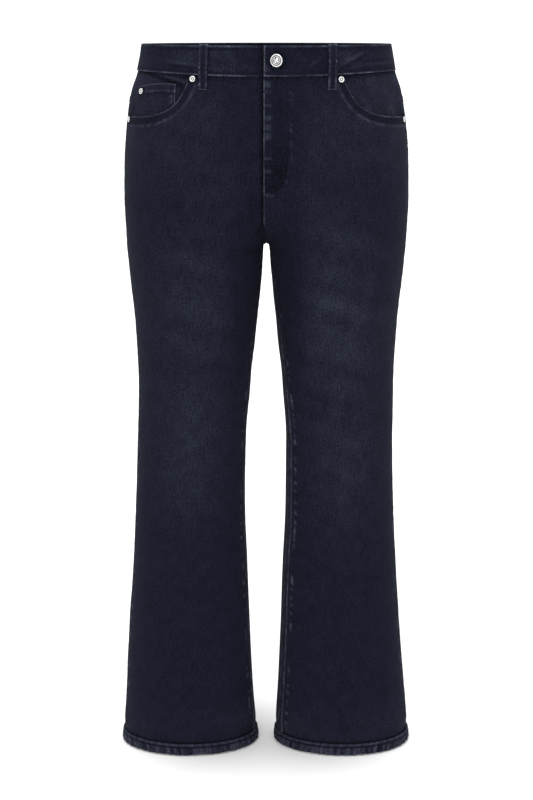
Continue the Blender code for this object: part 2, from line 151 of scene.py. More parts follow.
def quarter(side, face, level, above):
    """Sections from the widest point to the centre or the inseam: arrays x, y, a row for each level."""
    at = {name: column[:, None] for name, column in form(level).items()}
    out = at["side_left"] if side == LEFT else at["side_right"]
    far = at["front"] if face == FRONT else at["back"]
    turn = np.linspace(0, math.pi / 2, ARC_POINTS)
    outer_x = at["crown"] + (out - at["crown"]) * np.cos(turn)
    outer_y = at["side_y"] + (far - at["side_y"]) * np.sin(turn)
    if above:
        rise = RISE_FRONT if face == FRONT else RISE_BACK
        lean = math.pi / 2 * (1 - np.sqrt(np.clip((level[:, None] - CROTCH) / rise, 0, 1)))
        valley = at["crown"] * (1 - np.sin(lean))
        x = at["crown"] * (1 - np.sin(turn))
        inward = np.clip((at["crown"] - np.hypot(x, valley)) / at["crown"], 0, 1)
        y = at["in_y"] + (far - at["in_y"]) * np.sqrt(1 - inward**2)
    else:
        inner = at["in_left"] if side == LEFT else at["in_right"]
        x = at["crown"] - (at["crown"] - inner) * np.sin(turn)
        y = at["in_y"] + (far - at["in_y"]) * np.cos(turn)
    return np.dstack([np.hstack([outer_x, x[:, 1:]]), np.hstack([outer_y, y[:, 1:]])])


def side_map(side, above):
    """Points and outward normals on a grid of levels and shares of the way round, and how far it is to
    the end of each face."""
    rows = MAP_ROWS[above]
    up = np.arange(rows + 1) / rows
    level = mix(CROTCH, 0.0, up**2) if above else mix(CROTCH, HEM, (1 - up) ** 2)
    front, back = quarter(side, FRONT, level, above), quarter(side, BACK, level, above)
    mirror = np.array((-1.0, 1.0))
    past_front, past_back = (front * mirror, back * mirror) if above else (back, front)
    line = np.hstack([past_front[:, :-1], front[:, ::-1], back[:, 1:], past_back[:, -2::-1]])
    walked = np.cumsum(np.linalg.norm(np.diff(line, axis=1), axis=2), axis=1)
    walked = np.hstack([np.zeros((rows + 1, 1)), walked])
    widest = 2 * front.shape[1] - 2
    walked -= walked[:, widest : widest + 1]
    ends = np.column_stack([-walked[:, widest // 2], walked[:, widest + back.shape[1] - 1]])
    share = np.arange(-MAP_STEPS - MAP_PAST, MAP_STEPS + MAP_PAST + 1) / MAP_STEPS
    around = np.where(share < 0, share * ends[:, :1], share * ends[:, 1:])
    x, y = (
        np.array([np.interp(around[row], walked[row], line[row, :, axis]) for row in range(rows + 1)])
        for axis in (0, 1)
    )
    at = {name: column[:, None] for name, column in form(level).items()}
    forward = np.clip((at["side_y"] - y) / (at["side_y"] - at["front"]), 0, None)
    dip = mix(DIP_EDGE, DIP_SEAM, ramp(-level, 0.0, BAND_HEIGHT)) * ramp(level, DIP_FROM, DIP_FULL)
    dip = dip[:, None] * forward**3
    points = np.dstack([side * x, y, level[:, None] - dip])
    normals = np.cross(np.gradient(points, axis=1), np.gradient(points, axis=0)) * side
    normals /= np.linalg.norm(normals, axis=2, keepdims=True) + 1e-12
    return {"points": points, "normals": normals, "level": level, "ends": ends}


MAPS = {(side, above): side_map(side, above) for side in (RIGHT, LEFT) for above in (True, False)}


def reach(side, face, level):
    """How far it is from the widest point to the centre line, or below the crotch to the inseam, mm."""
    level = np.asarray(level, float)
    column = 0 if face == FRONT else 1
    high, low = MAPS[side, True], MAPS[side, False]
    return np.where(
        level >= CROTCH,
        np.interp(level, high["level"], high["ends"][:, column]),
        np.interp(level, low["level"], low["ends"][:, column]),
    )


def read_map(side, level, around):
    """Points and normals of the bare form, mm, for arrays of levels and distances round."""
    level, around = (np.ravel(a) for a in np.broadcast_arrays(level, around))
    points, normals = np.empty((len(level), 3)), np.empty((len(level), 3))
    within = np.clip(level, HEM, 0.0)
    for above in (True, False):
        chosen = (within >= CROTCH) == above
        if not chosen.any():
            continue
        chart, rows = MAPS[side, above], MAP_ROWS[above]
        height = within[chosen]
        share = (height - CROTCH) / -CROTCH if above else (CROTCH - height) / (CROTCH - HEM)
        up = np.sqrt(share) if above else 1 - np.sqrt(share)
        row = np.clip(up * rows, 0, rows - 1e-6)
        walked = around[chosen]
        end = np.where(walked < 0, reach(side, FRONT, height), reach(side, BACK, height))
        column = np.clip((walked / end + 1) * MAP_STEPS + MAP_PAST, 0, 2 * (MAP_STEPS + MAP_PAST) - 1e-6)
        i, j = row.astype(int), column.astype(int)
        s, t = (row - i)[:, None], (column - j)[:, None]
        for grid, found in ((chart["points"], points), (chart["normals"], normals)):
            low, high = mix(grid[i, j], grid[i, j + 1], t), mix(grid[i + 1, j], grid[i + 1, j + 1], t)
            found[chosen] = mix(low, high, s)
    points[:, 2] += level - within
    return points, normals / (np.linalg.norm(normals, axis=1, keepdims=True) + 1e-12)


for face_name, face in (("front", FRONT), ("back", BACK)):
    print(face_name, "reach at the hips, mm:", reach(LEFT, face, -200).round(1))

# %% [markdown]
# ## Creases
#
# Worn jeans have a few soft folds: across the front of a knee, at the crotch, over the hip and down the back
# of the thigh. Each one is a row of a table: a ridge or a trough that follows a slightly bent
# line and dies out at its ends. They are added to the form itself, so a fold runs on across a seam, and a
# pocket or a stitch that lies on the cloth follows it.

# %% Folds of the cloth
FOLD_COLUMNS = ("face", "x", "z", "turn", "half_length", "half_width", "height", "bend")
FOLD_ROWS = (
    # wearer's left knee, front: a sharp smile with a fainter one under its inner end
    (FRONT, 115.0, -481.5, 0.0, 34.0, 2.6, -1.5, 0.0042),
    (FRONT, 115.0, -476.5, 0.0, 40.0, 5.0, 0.9, 0.0040),
    (FRONT, 115.0, -488.5, 0.0, 36.0, 6.0, 0.7, 0.0040),
    (FRONT, 82.0, -486.0, -6.0, 16.0, 2.4, -0.7, 0.0020),
    # wearer's right shin: two faint level lines
    (FRONT, -118.0, -732.5, -2.5, 46.0, 3.0, -0.8, 0.0),
    (FRONT, -118.0, -727.0, -2.5, 52.0, 5.0, 0.5, 0.0),
    (FRONT, -64.0, -790.0, -6.0, 30.0, 3.0, -0.7, 0.0),
    # wearer's left shin: a soft fold that starts inside the knee and slopes out to the hem
    (FRONT, 78.0, -600.0, -72.0, 90.0, 14.0, -1.6, 0.0),
    (FRONT, 104.0, -760.0, -80.0, 110.0, 16.0, -1.4, 0.0),
    (FRONT, 150.0, -905.0, 24.0, 40.0, 6.0, 0.8, 0.0),
    (FRONT, 158.0, -955.0, 30.0, 34.0, 6.0, 0.7, 0.0),
    # crotch: short folds that fan out from the end of the fly
    (FRONT, -30.0, -226.0, 38.0, 34.0, 7.0, -1.3, 0.0),
    (FRONT, 34.0, -228.0, -38.0, 34.0, 7.0, -1.3, 0.0),
    (FRONT, -52.0, -196.0, 22.0, 44.0, 9.0, -0.8, 0.0),
    (FRONT, 58.0, -200.0, -22.0, 44.0, 9.0, -0.8, 0.0),
    (FRONT, -44.0, -262.0, 48.0, 40.0, 9.0, 1.0, 0.0),
    (FRONT, 46.0, -262.0, -48.0, 40.0, 9.0, 1.0, 0.0),
    # hips: a slack line under each pocket
    (FRONT, -120.0, -150.0, 8.0, 50.0, 10.0, 0.8, 0.0),
    (FRONT, 118.0, -146.0, -8.0, 48.0, 10.0, 0.8, 0.0),
    (FRONT, -104.0, -124.0, 12.0, 26.0, 3.0, -0.5, 0.0),
    # back of the seat: two slack folds under each pocket
    (BACK, -92.0, -286.0, 14.0, 62.0, 9.0, 2.2, 0.0016),
    (BACK, 94.0, -288.0, -14.0, 62.0, 9.0, 2.2, 0.0016),
    (BACK, -86.0, -304.0, 16.0, 58.0, 8.0, -1.8, 0.0016),
    (BACK, 88.0, -306.0, -16.0, 58.0, 8.0, -1.8, 0.0016),
    (BACK, -96.0, -326.0, 10.0, 50.0, 9.0, 1.4, 0.0010),
    (BACK, 96.0, -330.0, -10.0, 50.0, 9.0, 1.4, 0.0010),
    # back of the knees
    (BACK, -104.0, -470.0, 4.0, 52.0, 7.0, -2.0, -0.0014),
    (BACK, 106.0, -474.0, -5.0, 52.0, 7.0, -2.0, -0.0014),
    (BACK, -98.0, -492.0, -9.0, 46.0, 6.0, -1.6, -0.0010),
    (BACK, 100.0, -497.0, 8.0, 46.0, 6.0, -1.6, -0.0010),
    (BACK, -110.0, -516.0, 12.0, 40.0, 7.0, -1.2, 0.0),
    (BACK, 112.0, -520.0, -11.0, 40.0, 7.0, -1.2, 0.0),
    # back of the calves, down to the hems
    (BACK, -90.0, -690.0, 74.0, 90.0, 15.0, -1.4, 0.0),
    (BACK, 92.0, -700.0, -74.0, 90.0, 15.0, -1.4, 0.0),
    (BACK, -140.0, -930.0, -30.0, 36.0, 7.0, 0.8, 0.0),
    (BACK, 142.0, -926.0, 32.0, 36.0, 7.0, 0.8, 0.0),
)
FACE_BLEND = 12.0  # a fold fades over this depth as it nears the side


def folds(points):
    """How far the folds move each point of the form outwards, mm."""
    x, y, z = points.T
    moved = np.zeros(len(points))
    middle = form(np.clip(z, HEM, 0.0))["side_y"]
    for row in FOLD_ROWS:
        fold = dict(zip(FOLD_COLUMNS, row))
        near = np.abs(z - fold["z"]) < fold["half_length"] + 3 * fold["half_width"]
        near &= np.abs(x - fold["x"]) < fold["half_length"] + 3 * fold["half_width"]
        near &= (y - middle) * fold["face"] > 0
        if not near.any():
            continue
        turn = math.radians(fold["turn"])
        dx, dz = x[near] - fold["x"], z[near] - fold["z"]
        u = dx * math.cos(turn) + dz * math.sin(turn)
        v = dz * math.cos(turn) - dx * math.sin(turn) - fold["bend"] * u**2
        fade = np.clip(1 - (u / fold["half_length"]) ** 2, 0, 1) ** 1.5
        deep = ramp((y - middle)[near] * fold["face"], 0, FACE_BLEND)
        moved[near] += fold["height"] * hump(v, fold["half_width"]) * fade * deep
    return moved


# %% Uneven lines for puckers and worn edges
WANDER_COUNT = 4096
WANDER = np.random.default_rng(7).uniform(-1, 1, WANDER_COUNT)


def wander(distance, length, lane=0):
    """A smooth uneven line from -1 to 1: it changes about every length, and lane picks another line."""
    t = np.asarray(distance, float) / length + lane * 37.7
    i = np.floor(t).astype(int)
    s = ramp(t - i, 0, 1)
    return mix(WANDER[i % WANDER_COUNT], WANDER[(i + 1) % WANDER_COUNT], s)


def soft_cloth(level, around, side):
    """The gentle unevenness of unpressed cloth, mm."""
    leg = 0.45 * wander(level + 0.6 * around, 46, 3 + side) * wander(around - 0.4 * level, 60, 9)
    return leg + 0.25 * wander(level * 0.35 + around, 24, 5) * wander(level, 90, 8)


def on_jeans(side, level, around, out=0.0):
    """Points out from the cloth's outer face, in metres: the form, its folds and its unevenness."""
    level, around, out = (np.ravel(a).astype(float) for a in np.broadcast_arrays(level, around, out))
    points, normals = read_map(side, level, around)
    raised = folds(points) + soft_cloth(level, around, side)
    calm = ramp(level, HEM, HEM + 40) * ramp(-level, 30, 60)
    return (points + normals * (out + raised * calm)[:, None]) * MM


# %% [markdown]
# ## Cutting a piece of cloth
#
# A cut piece starts as a primitive grid. Its columns and rows are crowded together at the edges, where the
# cloth rolls over into the seam, and are even between. Each point then goes to its place on the form. A
# Solidify modifier gives the grid the thickness of denim, inwards, and its inner face takes the paler
# inside of the cloth. The UV map is in metres of cloth along the grain, so the twill keeps its real size
# and bends with the piece. A point attribute says how much dye is rubbed off. Below nothing it says how
# much darker the cloth is: mostly painted shade, in folds, beside laps and seams, round metal and under the
# waistband, and inside the fly's J dye that has kept its depth.

# %% Where a grid's lines lie
# distance in from a seam, and how far the cloth has rolled inwards there, mm
ROLL = ((-0.16, 2.8), (-0.16, 1.4), (-0.04, 0.75), (0.12, 0.3), (0.45, 0.08), (0.9, 0.0))
NOT_ROLLED = (1.5, 2.2, 3.0, 4.0, 5.2, 6.6, 8.2, 10.0, 12.5)
NEAR = tuple(row[0] for row in ROLL) + NOT_ROLLED
ROLLED = tuple(row[1] for row in ROLL) + (0.0,) * len(NOT_ROLLED)
DENIM_THICK = 1.1
DARKEST, FOLD_DARKEST = -0.85, -2.0  # the lowest wear of a piece, which below nothing is mostly painted shade, and of a hip facing, whose fold has a deep painted shadow
SEAM_GAP = 0.3
CLOTH_NAME = "_cloth"  # a piece is named after the CAD node it stands for, and this


def lines(middle):
    """Grid lines across a piece, crowded at both edges. share runs 0 to 1 between the edges, offset moves a
    line by mm from there, and rolled is how far in it lies."""
    inset = NEAR[-1]
    near, roll = np.array(NEAR), np.array(ROLLED)
    even = np.linspace(0, 1, middle + 2)[1:-1]
    share = np.concatenate([np.zeros(len(near)), even, np.ones(len(near))])
    offset = np.concatenate([near, mix(inset, -inset, even), -near[::-1]])
    return share, offset, np.concatenate([roll, np.zeros(middle), roll[::-1]])


def deselect():
    bpy.ops.object.select_all(action="DESELECT")


def set_active(piece):
    deselect()
    piece.select_set(True)
    bpy.context.view_layer.objects.active = piece


def apply_modifiers(piece):
    set_active(piece)
    for modifier in list(piece.modifiers):
        bpy.ops.object.modifier_apply(modifier=modifier.name)


def grid(name, columns, rows):
    """A primitive grid, and each point's column and row."""
    deselect()
    bpy.ops.mesh.primitive_grid_add(x_subdivisions=columns, y_subdivisions=rows, size=1, calc_uvs=True)
    piece = bpy.context.object
    piece.name = piece.data.name = name + CLOTH_NAME
    flat = np.empty(len(piece.data.vertices) * 3)
    piece.data.vertices.foreach_get("co", flat)
    flat = flat.reshape(-1, 3) + 0.5
    return piece, np.rint(flat[:, 0] * columns).astype(int), np.rint((1 - flat[:, 1]) * rows).astype(int)


def smooth(mesh):
    mesh.polygons.foreach_set("use_smooth", np.ones(len(mesh.polygons), bool))


def grain(across, level):
    """The UV map: a place in metres of cloth, its second number along the warp."""
    return np.column_stack([across, level]) * MM


def shape_grid(piece, points, cloth_uv, wear, outward, darkest=DARKEST):
    """Gives a grid its points, its UV map in metres of cloth and its wear with its painted shade, and faces
    it outwards.
    """
    mesh = piece.data
    mesh.vertices.foreach_set("co", points.ravel())
    corner = np.empty(len(mesh.loops), int)
    mesh.loops.foreach_get("vertex_index", corner)
    mesh.uv_layers.active.data.foreach_set("uv", cloth_uv[corner].ravel())
    worn = mesh.attributes.new("wear", "FLOAT", "POINT")
    worn.data.foreach_set("value", np.clip(wear, darkest, 1).astype(np.float32))
    mesh.update()
    middle = mesh.polygons[len(mesh.polygons) // 2]
    if np.dot(np.array(middle.normal), outward[middle.vertices[0]]) < 0:
        mesh.flip_normals()
    smooth(mesh)


def thicken(piece, thickness=DENIM_THICK):
    """Gives cloth its wall, inwards, with its inside in the second material."""
    for material in (OUTSIDE, INSIDE):
        piece.data.materials.append(material)
    wall = piece.modifiers.new("wall", "SOLIDIFY")
    wall.thickness, wall.offset = thickness * MM, -1
    wall.material_offset, wall.material_offset_rim = 1, 0
    apply_modifiers(piece)


def cloth_area(piece):
    """Half the closed skin, in square metres: the cloth's own area."""
    return sum(polygon.area for polygon in piece.data.polygons) / 2


def finish_cloth(piece, **cut):
    """The piece's body and the node it stands for. The cut it was made from is not used."""
    node = piece.name.removesuffix(CLOTH_NAME)
    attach(piece, "root")
    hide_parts(node)
    print(piece.name, "cloth area", round(cloth_area(piece), 4), "faces", len(piece.data.polygons))


# %% [markdown]
# ## Denim
#
# Dark denim is a twill: indigo warp threads run down the cloth and pass over the white weft two or three at
# a time, which gives fine diagonal ribs. Uneven yarn shows as short upright streaks. The threads could be
# modelled, but there are thousands across one leg, so a node group makes the weave from the UV map and gives
# out its height and its shade. A second one wears the dye: it mixes towards a paler blue where the wear
# attribute is high, broken up by the yarn, so an edge looks rubbed rather than painted. Where the attribute
# is below nothing it darkens the colour instead, which is mostly painted shade. Both are used by the
# outside and the inside of the cloth with other values.

# %% Helpers for node trees
def new_group(name, inputs, outputs):
    """A shader node group. inputs: name to (kind, value). outputs: name to kind."""
    tree = bpy.data.node_groups.new(name, "ShaderNodeTree")
    for socket_name, (kind, value) in inputs.items():
        made = tree.interface.new_socket(socket_name, in_out="INPUT", socket_type=f"NodeSocket{kind}")
        if value is not None:
            made.default_value = value
    for socket_name, kind in outputs.items():
        tree.interface.new_socket(socket_name, in_out="OUTPUT", socket_type=f"NodeSocket{kind}")
    return tree, tree.nodes.new("NodeGroupInput"), tree.nodes.new("NodeGroupOutput")


def put(tree, kind, inputs=None, **settings):
    """Adds a node, sets it up and links or fills its inputs."""
    node = tree.nodes.new(f"ShaderNode{kind}")
    for name, value in settings.items():
        setattr(node, name, value)
    for name, value in (inputs or {}).items():
        if isinstance(value, bpy.types.NodeSocket):
            tree.links.new(value, node.inputs[name])
        else:
            node.inputs[name].default_value = value
    return node


def maths(tree, operation, a, b=0.0, clamp=False):
    return put(tree, "Math", {0: a, 1: b}, operation=operation, use_clamp=clamp).outputs[0]


def scaled(tree, vector, scale):
    return put(tree, "Mapping", {"Vector": vector, "Scale": scale}).outputs[0]


# %% The twill
def twill_group():
    tree, given, result = new_group(
        "twill",
        {"Cloth": ("Vector", None), "Ribs per metre": ("Float", 900.0), "Slub": ("Float", 1.0)},
        {"Height": "Float", "Shade": "Float"},
    )
    cloth, ribs = given.outputs["Cloth"], given.outputs["Ribs per metre"]
    split = put(tree, "SeparateXYZ", {0: cloth})
    u, v = split.outputs[0], split.outputs[1]
    # the ribs lean at about 63 degrees
    slanted = maths(tree, "ADD", u, maths(tree, "MULTIPLY", v, 0.5))
    wobble = put(tree, "TexNoise", {"Vector": cloth, "Scale": 220.0, "Detail": 1.0}).outputs["Fac"]
    phase = maths(tree, "MULTIPLY", maths(tree, "MULTIPLY", slanted, ribs), 2 * math.pi)
    phase = maths(tree, "ADD", phase, maths(tree, "MULTIPLY", wobble, 5.0))
    rib = maths(tree, "MULTIPLY_ADD", maths(tree, "SINE", phase), 0.5)
    tree.nodes[-1].inputs[2].default_value = 0.5
    streak = put(
        tree, "TexNoise", {"Vector": scaled(tree, cloth, (640.0, 60.0, 1.0)), "Scale": 1.0, "Detail": 3.0}
    ).outputs["Fac"]
    blotch = put(
        tree, "TexNoise", {"Vector": scaled(tree, cloth, (420.0, 330.0, 1.0)), "Scale": 1.0, "Detail": 4.0}
    ).outputs["Fac"]
    cloud = put(
        tree, "TexNoise", {"Vector": scaled(tree, cloth, (60.0, 45.0, 1.0)), "Scale": 1.0, "Detail": 2.0}
    ).outputs["Fac"]
    slub = maths(tree, "MULTIPLY", maths(tree, "SUBTRACT", streak, 0.5), given.outputs["Slub"])
    speck = maths(tree, "SUBTRACT", blotch, 0.5)
    height = maths(tree, "ADD", maths(tree, "MULTIPLY", rib, 0.6), maths(tree, "ADD", slub, speck))
    shade = maths(tree, "ADD", maths(tree, "MULTIPLY", slub, 0.8), maths(tree, "MULTIPLY", speck, 1.3))
    shade = maths(tree, "ADD", shade, maths(tree, "MULTIPLY", maths(tree, "SUBTRACT", rib, 0.5), 0.35))
    shade = maths(tree, "ADD", shade, maths(tree, "MULTIPLY", maths(tree, "SUBTRACT", cloud, 0.5), 0.45))
    tree.links.new(height, result.inputs["Height"])
    tree.links.new(shade, result.inputs["Shade"])
    return tree


# %% The worn dye, and painted shade
def worn_dye_and_shade_group():
    tree, given, result = new_group(
        "worn dye",
        {
            "Dye": ("Color", (0.02, 0.022, 0.04, 1)),
            "Rubbed": ("Color", (0.08, 0.09, 0.13, 1)),
            "Shade": ("Float", 0.0),
            "Wear": ("Float", 0.0),
            "Contrast": ("Float", 0.7),
        },
        {"Color": "Color", "Roughness": "Float"},
    )
    shade = maths(tree, "MULTIPLY", given.outputs["Shade"], given.outputs["Contrast"])
    uneven = maths(tree, "MULTIPLY_ADD", given.outputs["Shade"], 0.9)
    tree.nodes[-1].inputs[2].default_value = 1.0
    worn = maths(tree, "MULTIPLY", given.outputs["Wear"], uneven, clamp=True)
    colour = put(
        tree, "Mix", {0: worn, 6: given.outputs["Dye"], 7: given.outputs["Rubbed"]}, data_type="RGBA"
    ).outputs[2]
    # wear below nothing darkens the colour: mostly painted shade, in folds, beside laps and seams and round
    # metal, and inside the fly's J dye that has kept its depth
    kept = maths(tree, "MINIMUM", given.outputs["Wear"], 0.0)
    lighter = maths(tree, "MAXIMUM", maths(tree, "ADD", maths(tree, "ADD", 1.0, shade), kept), 0.15)
    grey = put(tree, "CombineXYZ", {0: lighter, 1: lighter, 2: lighter}).outputs[0]
    colour = put(tree, "VectorMath", {0: colour, 1: grey}, operation="MULTIPLY").outputs[0]
    rough = maths(tree, "SUBTRACT", 0.93, maths(tree, "MULTIPLY", worn, 0.08))
    tree.links.new(colour, result.inputs["Color"])
    tree.links.new(rough, result.inputs["Roughness"])
    return tree


TWILL, WORN_DYE_AND_SHADE = twill_group(), worn_dye_and_shade_group()


def denim(name, dye, rubbed, contrast, bump, sheen):
    """A denim material: the twill in real size, its dye worn by the wear attribute, and darkened by it where
    it holds painted shade.
    """
    material = bpy.data.materials.new(name)
    material.use_nodes = True
    tree = material.node_tree
    shader = tree.nodes["Principled BSDF"]
    cloth = put(tree, "TexCoord").outputs["UV"]
    twill = put(tree, "Group", {"Cloth": cloth}, node_tree=TWILL)
    wear = put(tree, "Attribute", attribute_name="wear").outputs["Fac"]
    looks = {"Dye": (*dye, 1), "Rubbed": (*rubbed, 1), "Shade": twill.outputs["Shade"], "Wear": wear}
    dyed = put(tree, "Group", {**looks, "Contrast": contrast}, node_tree=WORN_DYE_AND_SHADE)
    tree.links.new(dyed.outputs["Color"], shader.inputs["Base Color"])
    tree.links.new(dyed.outputs["Roughness"], shader.inputs["Roughness"])
    raised = put(tree, "Bump", {"Height": twill.outputs["Height"], "Strength": bump, "Distance": 0.0004})
    tree.links.new(raised.outputs[0], shader.inputs["Normal"])
    shader.inputs["Specular IOR Level"].default_value = 0.05
    shader.inputs["Sheen Weight"].default_value = sheen
    shader.inputs["Sheen Roughness"].default_value = 0.55
    shader.inputs["Sheen Tint"].default_value = (0.55, 0.6, 0.75, 1)
    material.diffuse_color = (*dye, 1)
    return material


def plain(name, colour, roughness, metallic=0.0):
    material = bpy.data.materials.new(name)
    material.use_nodes = True
    shader = material.node_tree.nodes["Principled BSDF"]
    shader.inputs["Base Color"].default_value = (*colour, 1)
    shader.inputs["Roughness"].default_value = roughness
    shader.inputs["Metallic"].default_value = metallic
    return material


OUTSIDE = denim("denim_outside", (0.0062, 0.0070, 0.0151), (0.085, 0.092, 0.128), 1.5, 0.45, 0.02)
INSIDE = denim("denim_inside", (0.062, 0.068, 0.092), (0.12, 0.13, 0.16), 0.6, 0.5, 0.05)

# %% [markdown]
# ## Seams
#
# Under a seam lie the edges of both pieces, turned back and sewn down, so the cloth stands a little higher
# for about a centimetre on one side and dips at the line of stitches. The thread draws the cloth in, and it
# ripples across the seam every centimetre or so. Both are small, but they are what makes a seam look sewn.
# They could be sculpted, but there are metres of seam, so two functions give the height and the wear at any
# distance from an edge, and every piece uses them. The wear is an uneven pale line at the seam's very edge,
# and a row of dots over the allowance's edge.

# %% What a seam does to the cloth beside it
def seam_relief(distance, along, lane, band=9.0, high=0.55, pucker=0.28):
    """Height, mm, at a distance from a seam whose allowance lies on this side over band mm."""
    plateau = high * (1 - ramp(distance, band - 1.2, band + 1.6)) * ramp(distance, 0.0, 1.2)
    ripple = wander(along, 5.5, lane) + 0.6 * wander(along, 3.2, lane + 1)
    spread = hump(distance, band + 3.0)
    return plateau + pucker * ripple * spread


def seam_wear(distance, along, lane, band=9.0, dimpled=0.42, steady=0.06):
    """Where the dye is rubbed off beside a seam: at its very edge, and at the allowance's."""
    uneven = 0.65 + 0.45 * wander(along, 9.0, lane + 5) + 0.25 * wander(along, 3.0, lane + 6)
    edge = hump(distance, 1.6)
    step = hump(distance - band, 1.9)
    dimples = wander(along, 3.6, lane + 7)
    return np.clip(uneven, 0, 1.4) * 0.5 * edge + step * (steady + dimpled * dimples)


THIGH, KNEE, HIP, SEAT, INNER_THIGH = -350.0, -560.0, -110.0, -200.0, -325.0  # levels of the worn places, and of the painted shade inside the thighs
FADE_DEPTH, LEFT_THIGH_MORE = 0.05, 1.55
INNER_THIGH_SHADE = {RIGHT: 0.08, LEFT: 0.24}


def fade(points):
    """Broad wear of the thighs and knees, paler down the middle of each leg's front, less a painted shade
    inside the thighs.
    """
    x, y, z = (points / MM).T
    across = np.abs(x) - form(np.clip(z, HEM, 0.0))["crown"]
    thigh = hump(across, 52) * hump(z - THIGH, 130)
    knee = 0.85 * hump(across, 46) * hump(z - KNEE, 110)
    hip = 0.55 * hump(z - HIP, 70) * ramp(np.abs(x), 30, 80)
    seat = 0.4 * hump(across - 4, 60) * hump(z - SEAT, 80) * (y > 0)
    hem_part = 0.4 * ramp(-z, 920, 985)
    patch = 1 + 0.5 * wander(z + x * 0.3, 23, 11) + 0.4 * wander(x - z * 0.2, 17, 12)
    rubbed = thigh * np.where(x > 0, LEFT_THIGH_MORE, 1.0) + knee + hip + seat + hem_part
    # painted shade on the inside of the thighs, by the crotch
    inner = hump(np.abs(x) - 24, 15) * hump(z - INNER_THIGH, 105)
    dark = inner * np.where(x > 0, INNER_THIGH_SHADE[LEFT], INNER_THIGH_SHADE[RIGHT])
    return FADE_DEPTH * rubbed * np.clip(patch, 0, 2) - dark


# %% Where metal goes through the cloth
METAL_SPOTS = {  # side, level, distance round from the widest point, and out
    "rivet_waist_right": (RIGHT, -40.6, 113.8, 0.1),
    "rivet_waist_left": (LEFT, -41.4, 112.9, 0.1),
    "rivet_side_right": (RIGHT, -99.5, 19.5, 0.2),
    "rivet_side_left": (LEFT, -99.5, 19.5, 0.2),
    "rivet_coin": (RIGHT, -60.8, 36.5, -3.0),
}
RIVET_RADIUS = 3.95


def pressed(side, level, along):
    """How strongly a rivet presses the cloth down at each place, and how strong the painted shadow round its
    rim is there, 0 to 1.
    """
    dent, rivet_shade = np.zeros(len(level)), np.zeros(len(level))
    for spot_side, spot_level, spot_along, _ in METAL_SPOTS.values():
        if spot_side == side:
            away = np.hypot(level - spot_level, along - spot_along)
            dent = np.maximum(dent, hump(away, RIVET_RADIUS + 2.5, 4))
            rivet_shade = np.maximum(rivet_shade, hump(away - RIVET_RADIUS - 0.9, 1.7))
    return dent, rivet_shade


# %% [markdown]
# ## Front panels
#
# A front panel runs from the waist seam to the hem. Its top outer corner is cut away in a curve, the mouth of
# the hip pocket, whose edge is turned under and sewn down with two rows. The left front laps over the right
# one at the fly. The grid follows the edges: its top row runs along the pocket's curve and then the waist
# seam, and its columns spread out evenly further down.

# %% Sizes of the fronts
PANEL_TOP = -BAND_HEIGHT - SEAM_GAP
TUCK_UP, TUCK_IN = 1.5, 2.3  # a panel's top edge goes up behind the waistband's foot by this, and in by this
TUCK_DOWN, FOOT_IN = 2.2, 2.8  # and its foot goes down behind the hem
HEM_HEIGHT, HEM_THICK, HEM_PROUD = 17.0, 3.4, 1.5
HEM_TOP = HEM + HEM_HEIGHT
PANEL_FOOT = HEM_TOP - SEAM_GAP + 0.8
FOOT_PULL = 1.6  # how far the hem's stitches draw the leg in, just above the band of the hem
OUTSEAM = 10.0  # the outseam lies this far forward of the widest point
INSEAM = {RIGHT: 15.0, LEFT: 28.0}  # and each inseam from the innermost
INSEAM_TURN = 70.0  # the inseam gets there this far below the crotch
SCOOP_LENGTH, SCOOP_DROP, SCOOP_POWER = 98.2, 59.2, 3.3  # the power makes it squarer than an ellipse
FLY_OVER, FLY_UNDER, FLY_SINK = 3.7, 5.0, 2.1  # past the centre line on top and below, and how far back
FLY_SINK_FROM, FLY_SINK_FULL = 15.0, 6.0
LAP_ENDS, LAP_FULL = 19.5, 34.0
MOUTH_CORNER = OUTSEAM + SCOOP_LENGTH  # where the pocket's mouth meets the waist seam
MOUTH_FOOT = PANEL_TOP - SCOOP_DROP  # the level at which it meets the outseam
EVEN_FROM = -150.0  # above this level a grid follows its top edge
SCOOP_COLUMNS, TOP_COLUMNS = 50, 26
UPPER_ROWS, SEAT_ROWS, LEG_ROWS = 40, 46, 190


def inseam_shift(side, level):
    return INSEAM[side] * ramp(level, CROTCH, CROTCH - INSEAM_TURN)


def fly_edge(side, level):
    """How far past the centre line a front panel ends, mm: less than nothing below the fly."""
    lap = FLY_OVER if side == LEFT else FLY_UNDER
    return mix(-SEAM_GAP / 2, lap, ramp(level, CROTCH + LAP_ENDS, CROTCH + LAP_FULL))


def front_end(side, level):
    """The distance round at which a front panel ends, counted forwards from the widest point."""
    below = level < CROTCH
    end = reach(side, FRONT, level)
    return np.where(below, end - inseam_shift(side, level) - SEAM_GAP / 2, end + fly_edge(side, level))


SCOOP_TURNS = np.linspace(0, math.pi / 2, 241)
SCOOP_CURVE = np.column_stack(
    [
        OUTSEAM + SCOOP_LENGTH * np.sin(SCOOP_TURNS) ** (2 / SCOOP_POWER),
        PANEL_TOP - SCOOP_DROP * np.cos(SCOOP_TURNS) ** (2 / SCOOP_POWER),
    ]
)
SCOOP_WALK = np.concatenate([[0], np.cumsum(np.linalg.norm(np.diff(SCOOP_CURVE, axis=0), axis=1))])


def from_scoop(along, level):
    """Distance from the pocket mouth's edge, and how far along that edge, both mm."""
    spots = np.column_stack([along, level])
    gaps = np.linalg.norm(spots[:, None] - SCOOP_CURVE[None, ::3], axis=2)
    nearest = gaps.argmin(axis=1)
    return gaps[np.arange(len(spots)), nearest], SCOOP_WALK[::3][nearest]


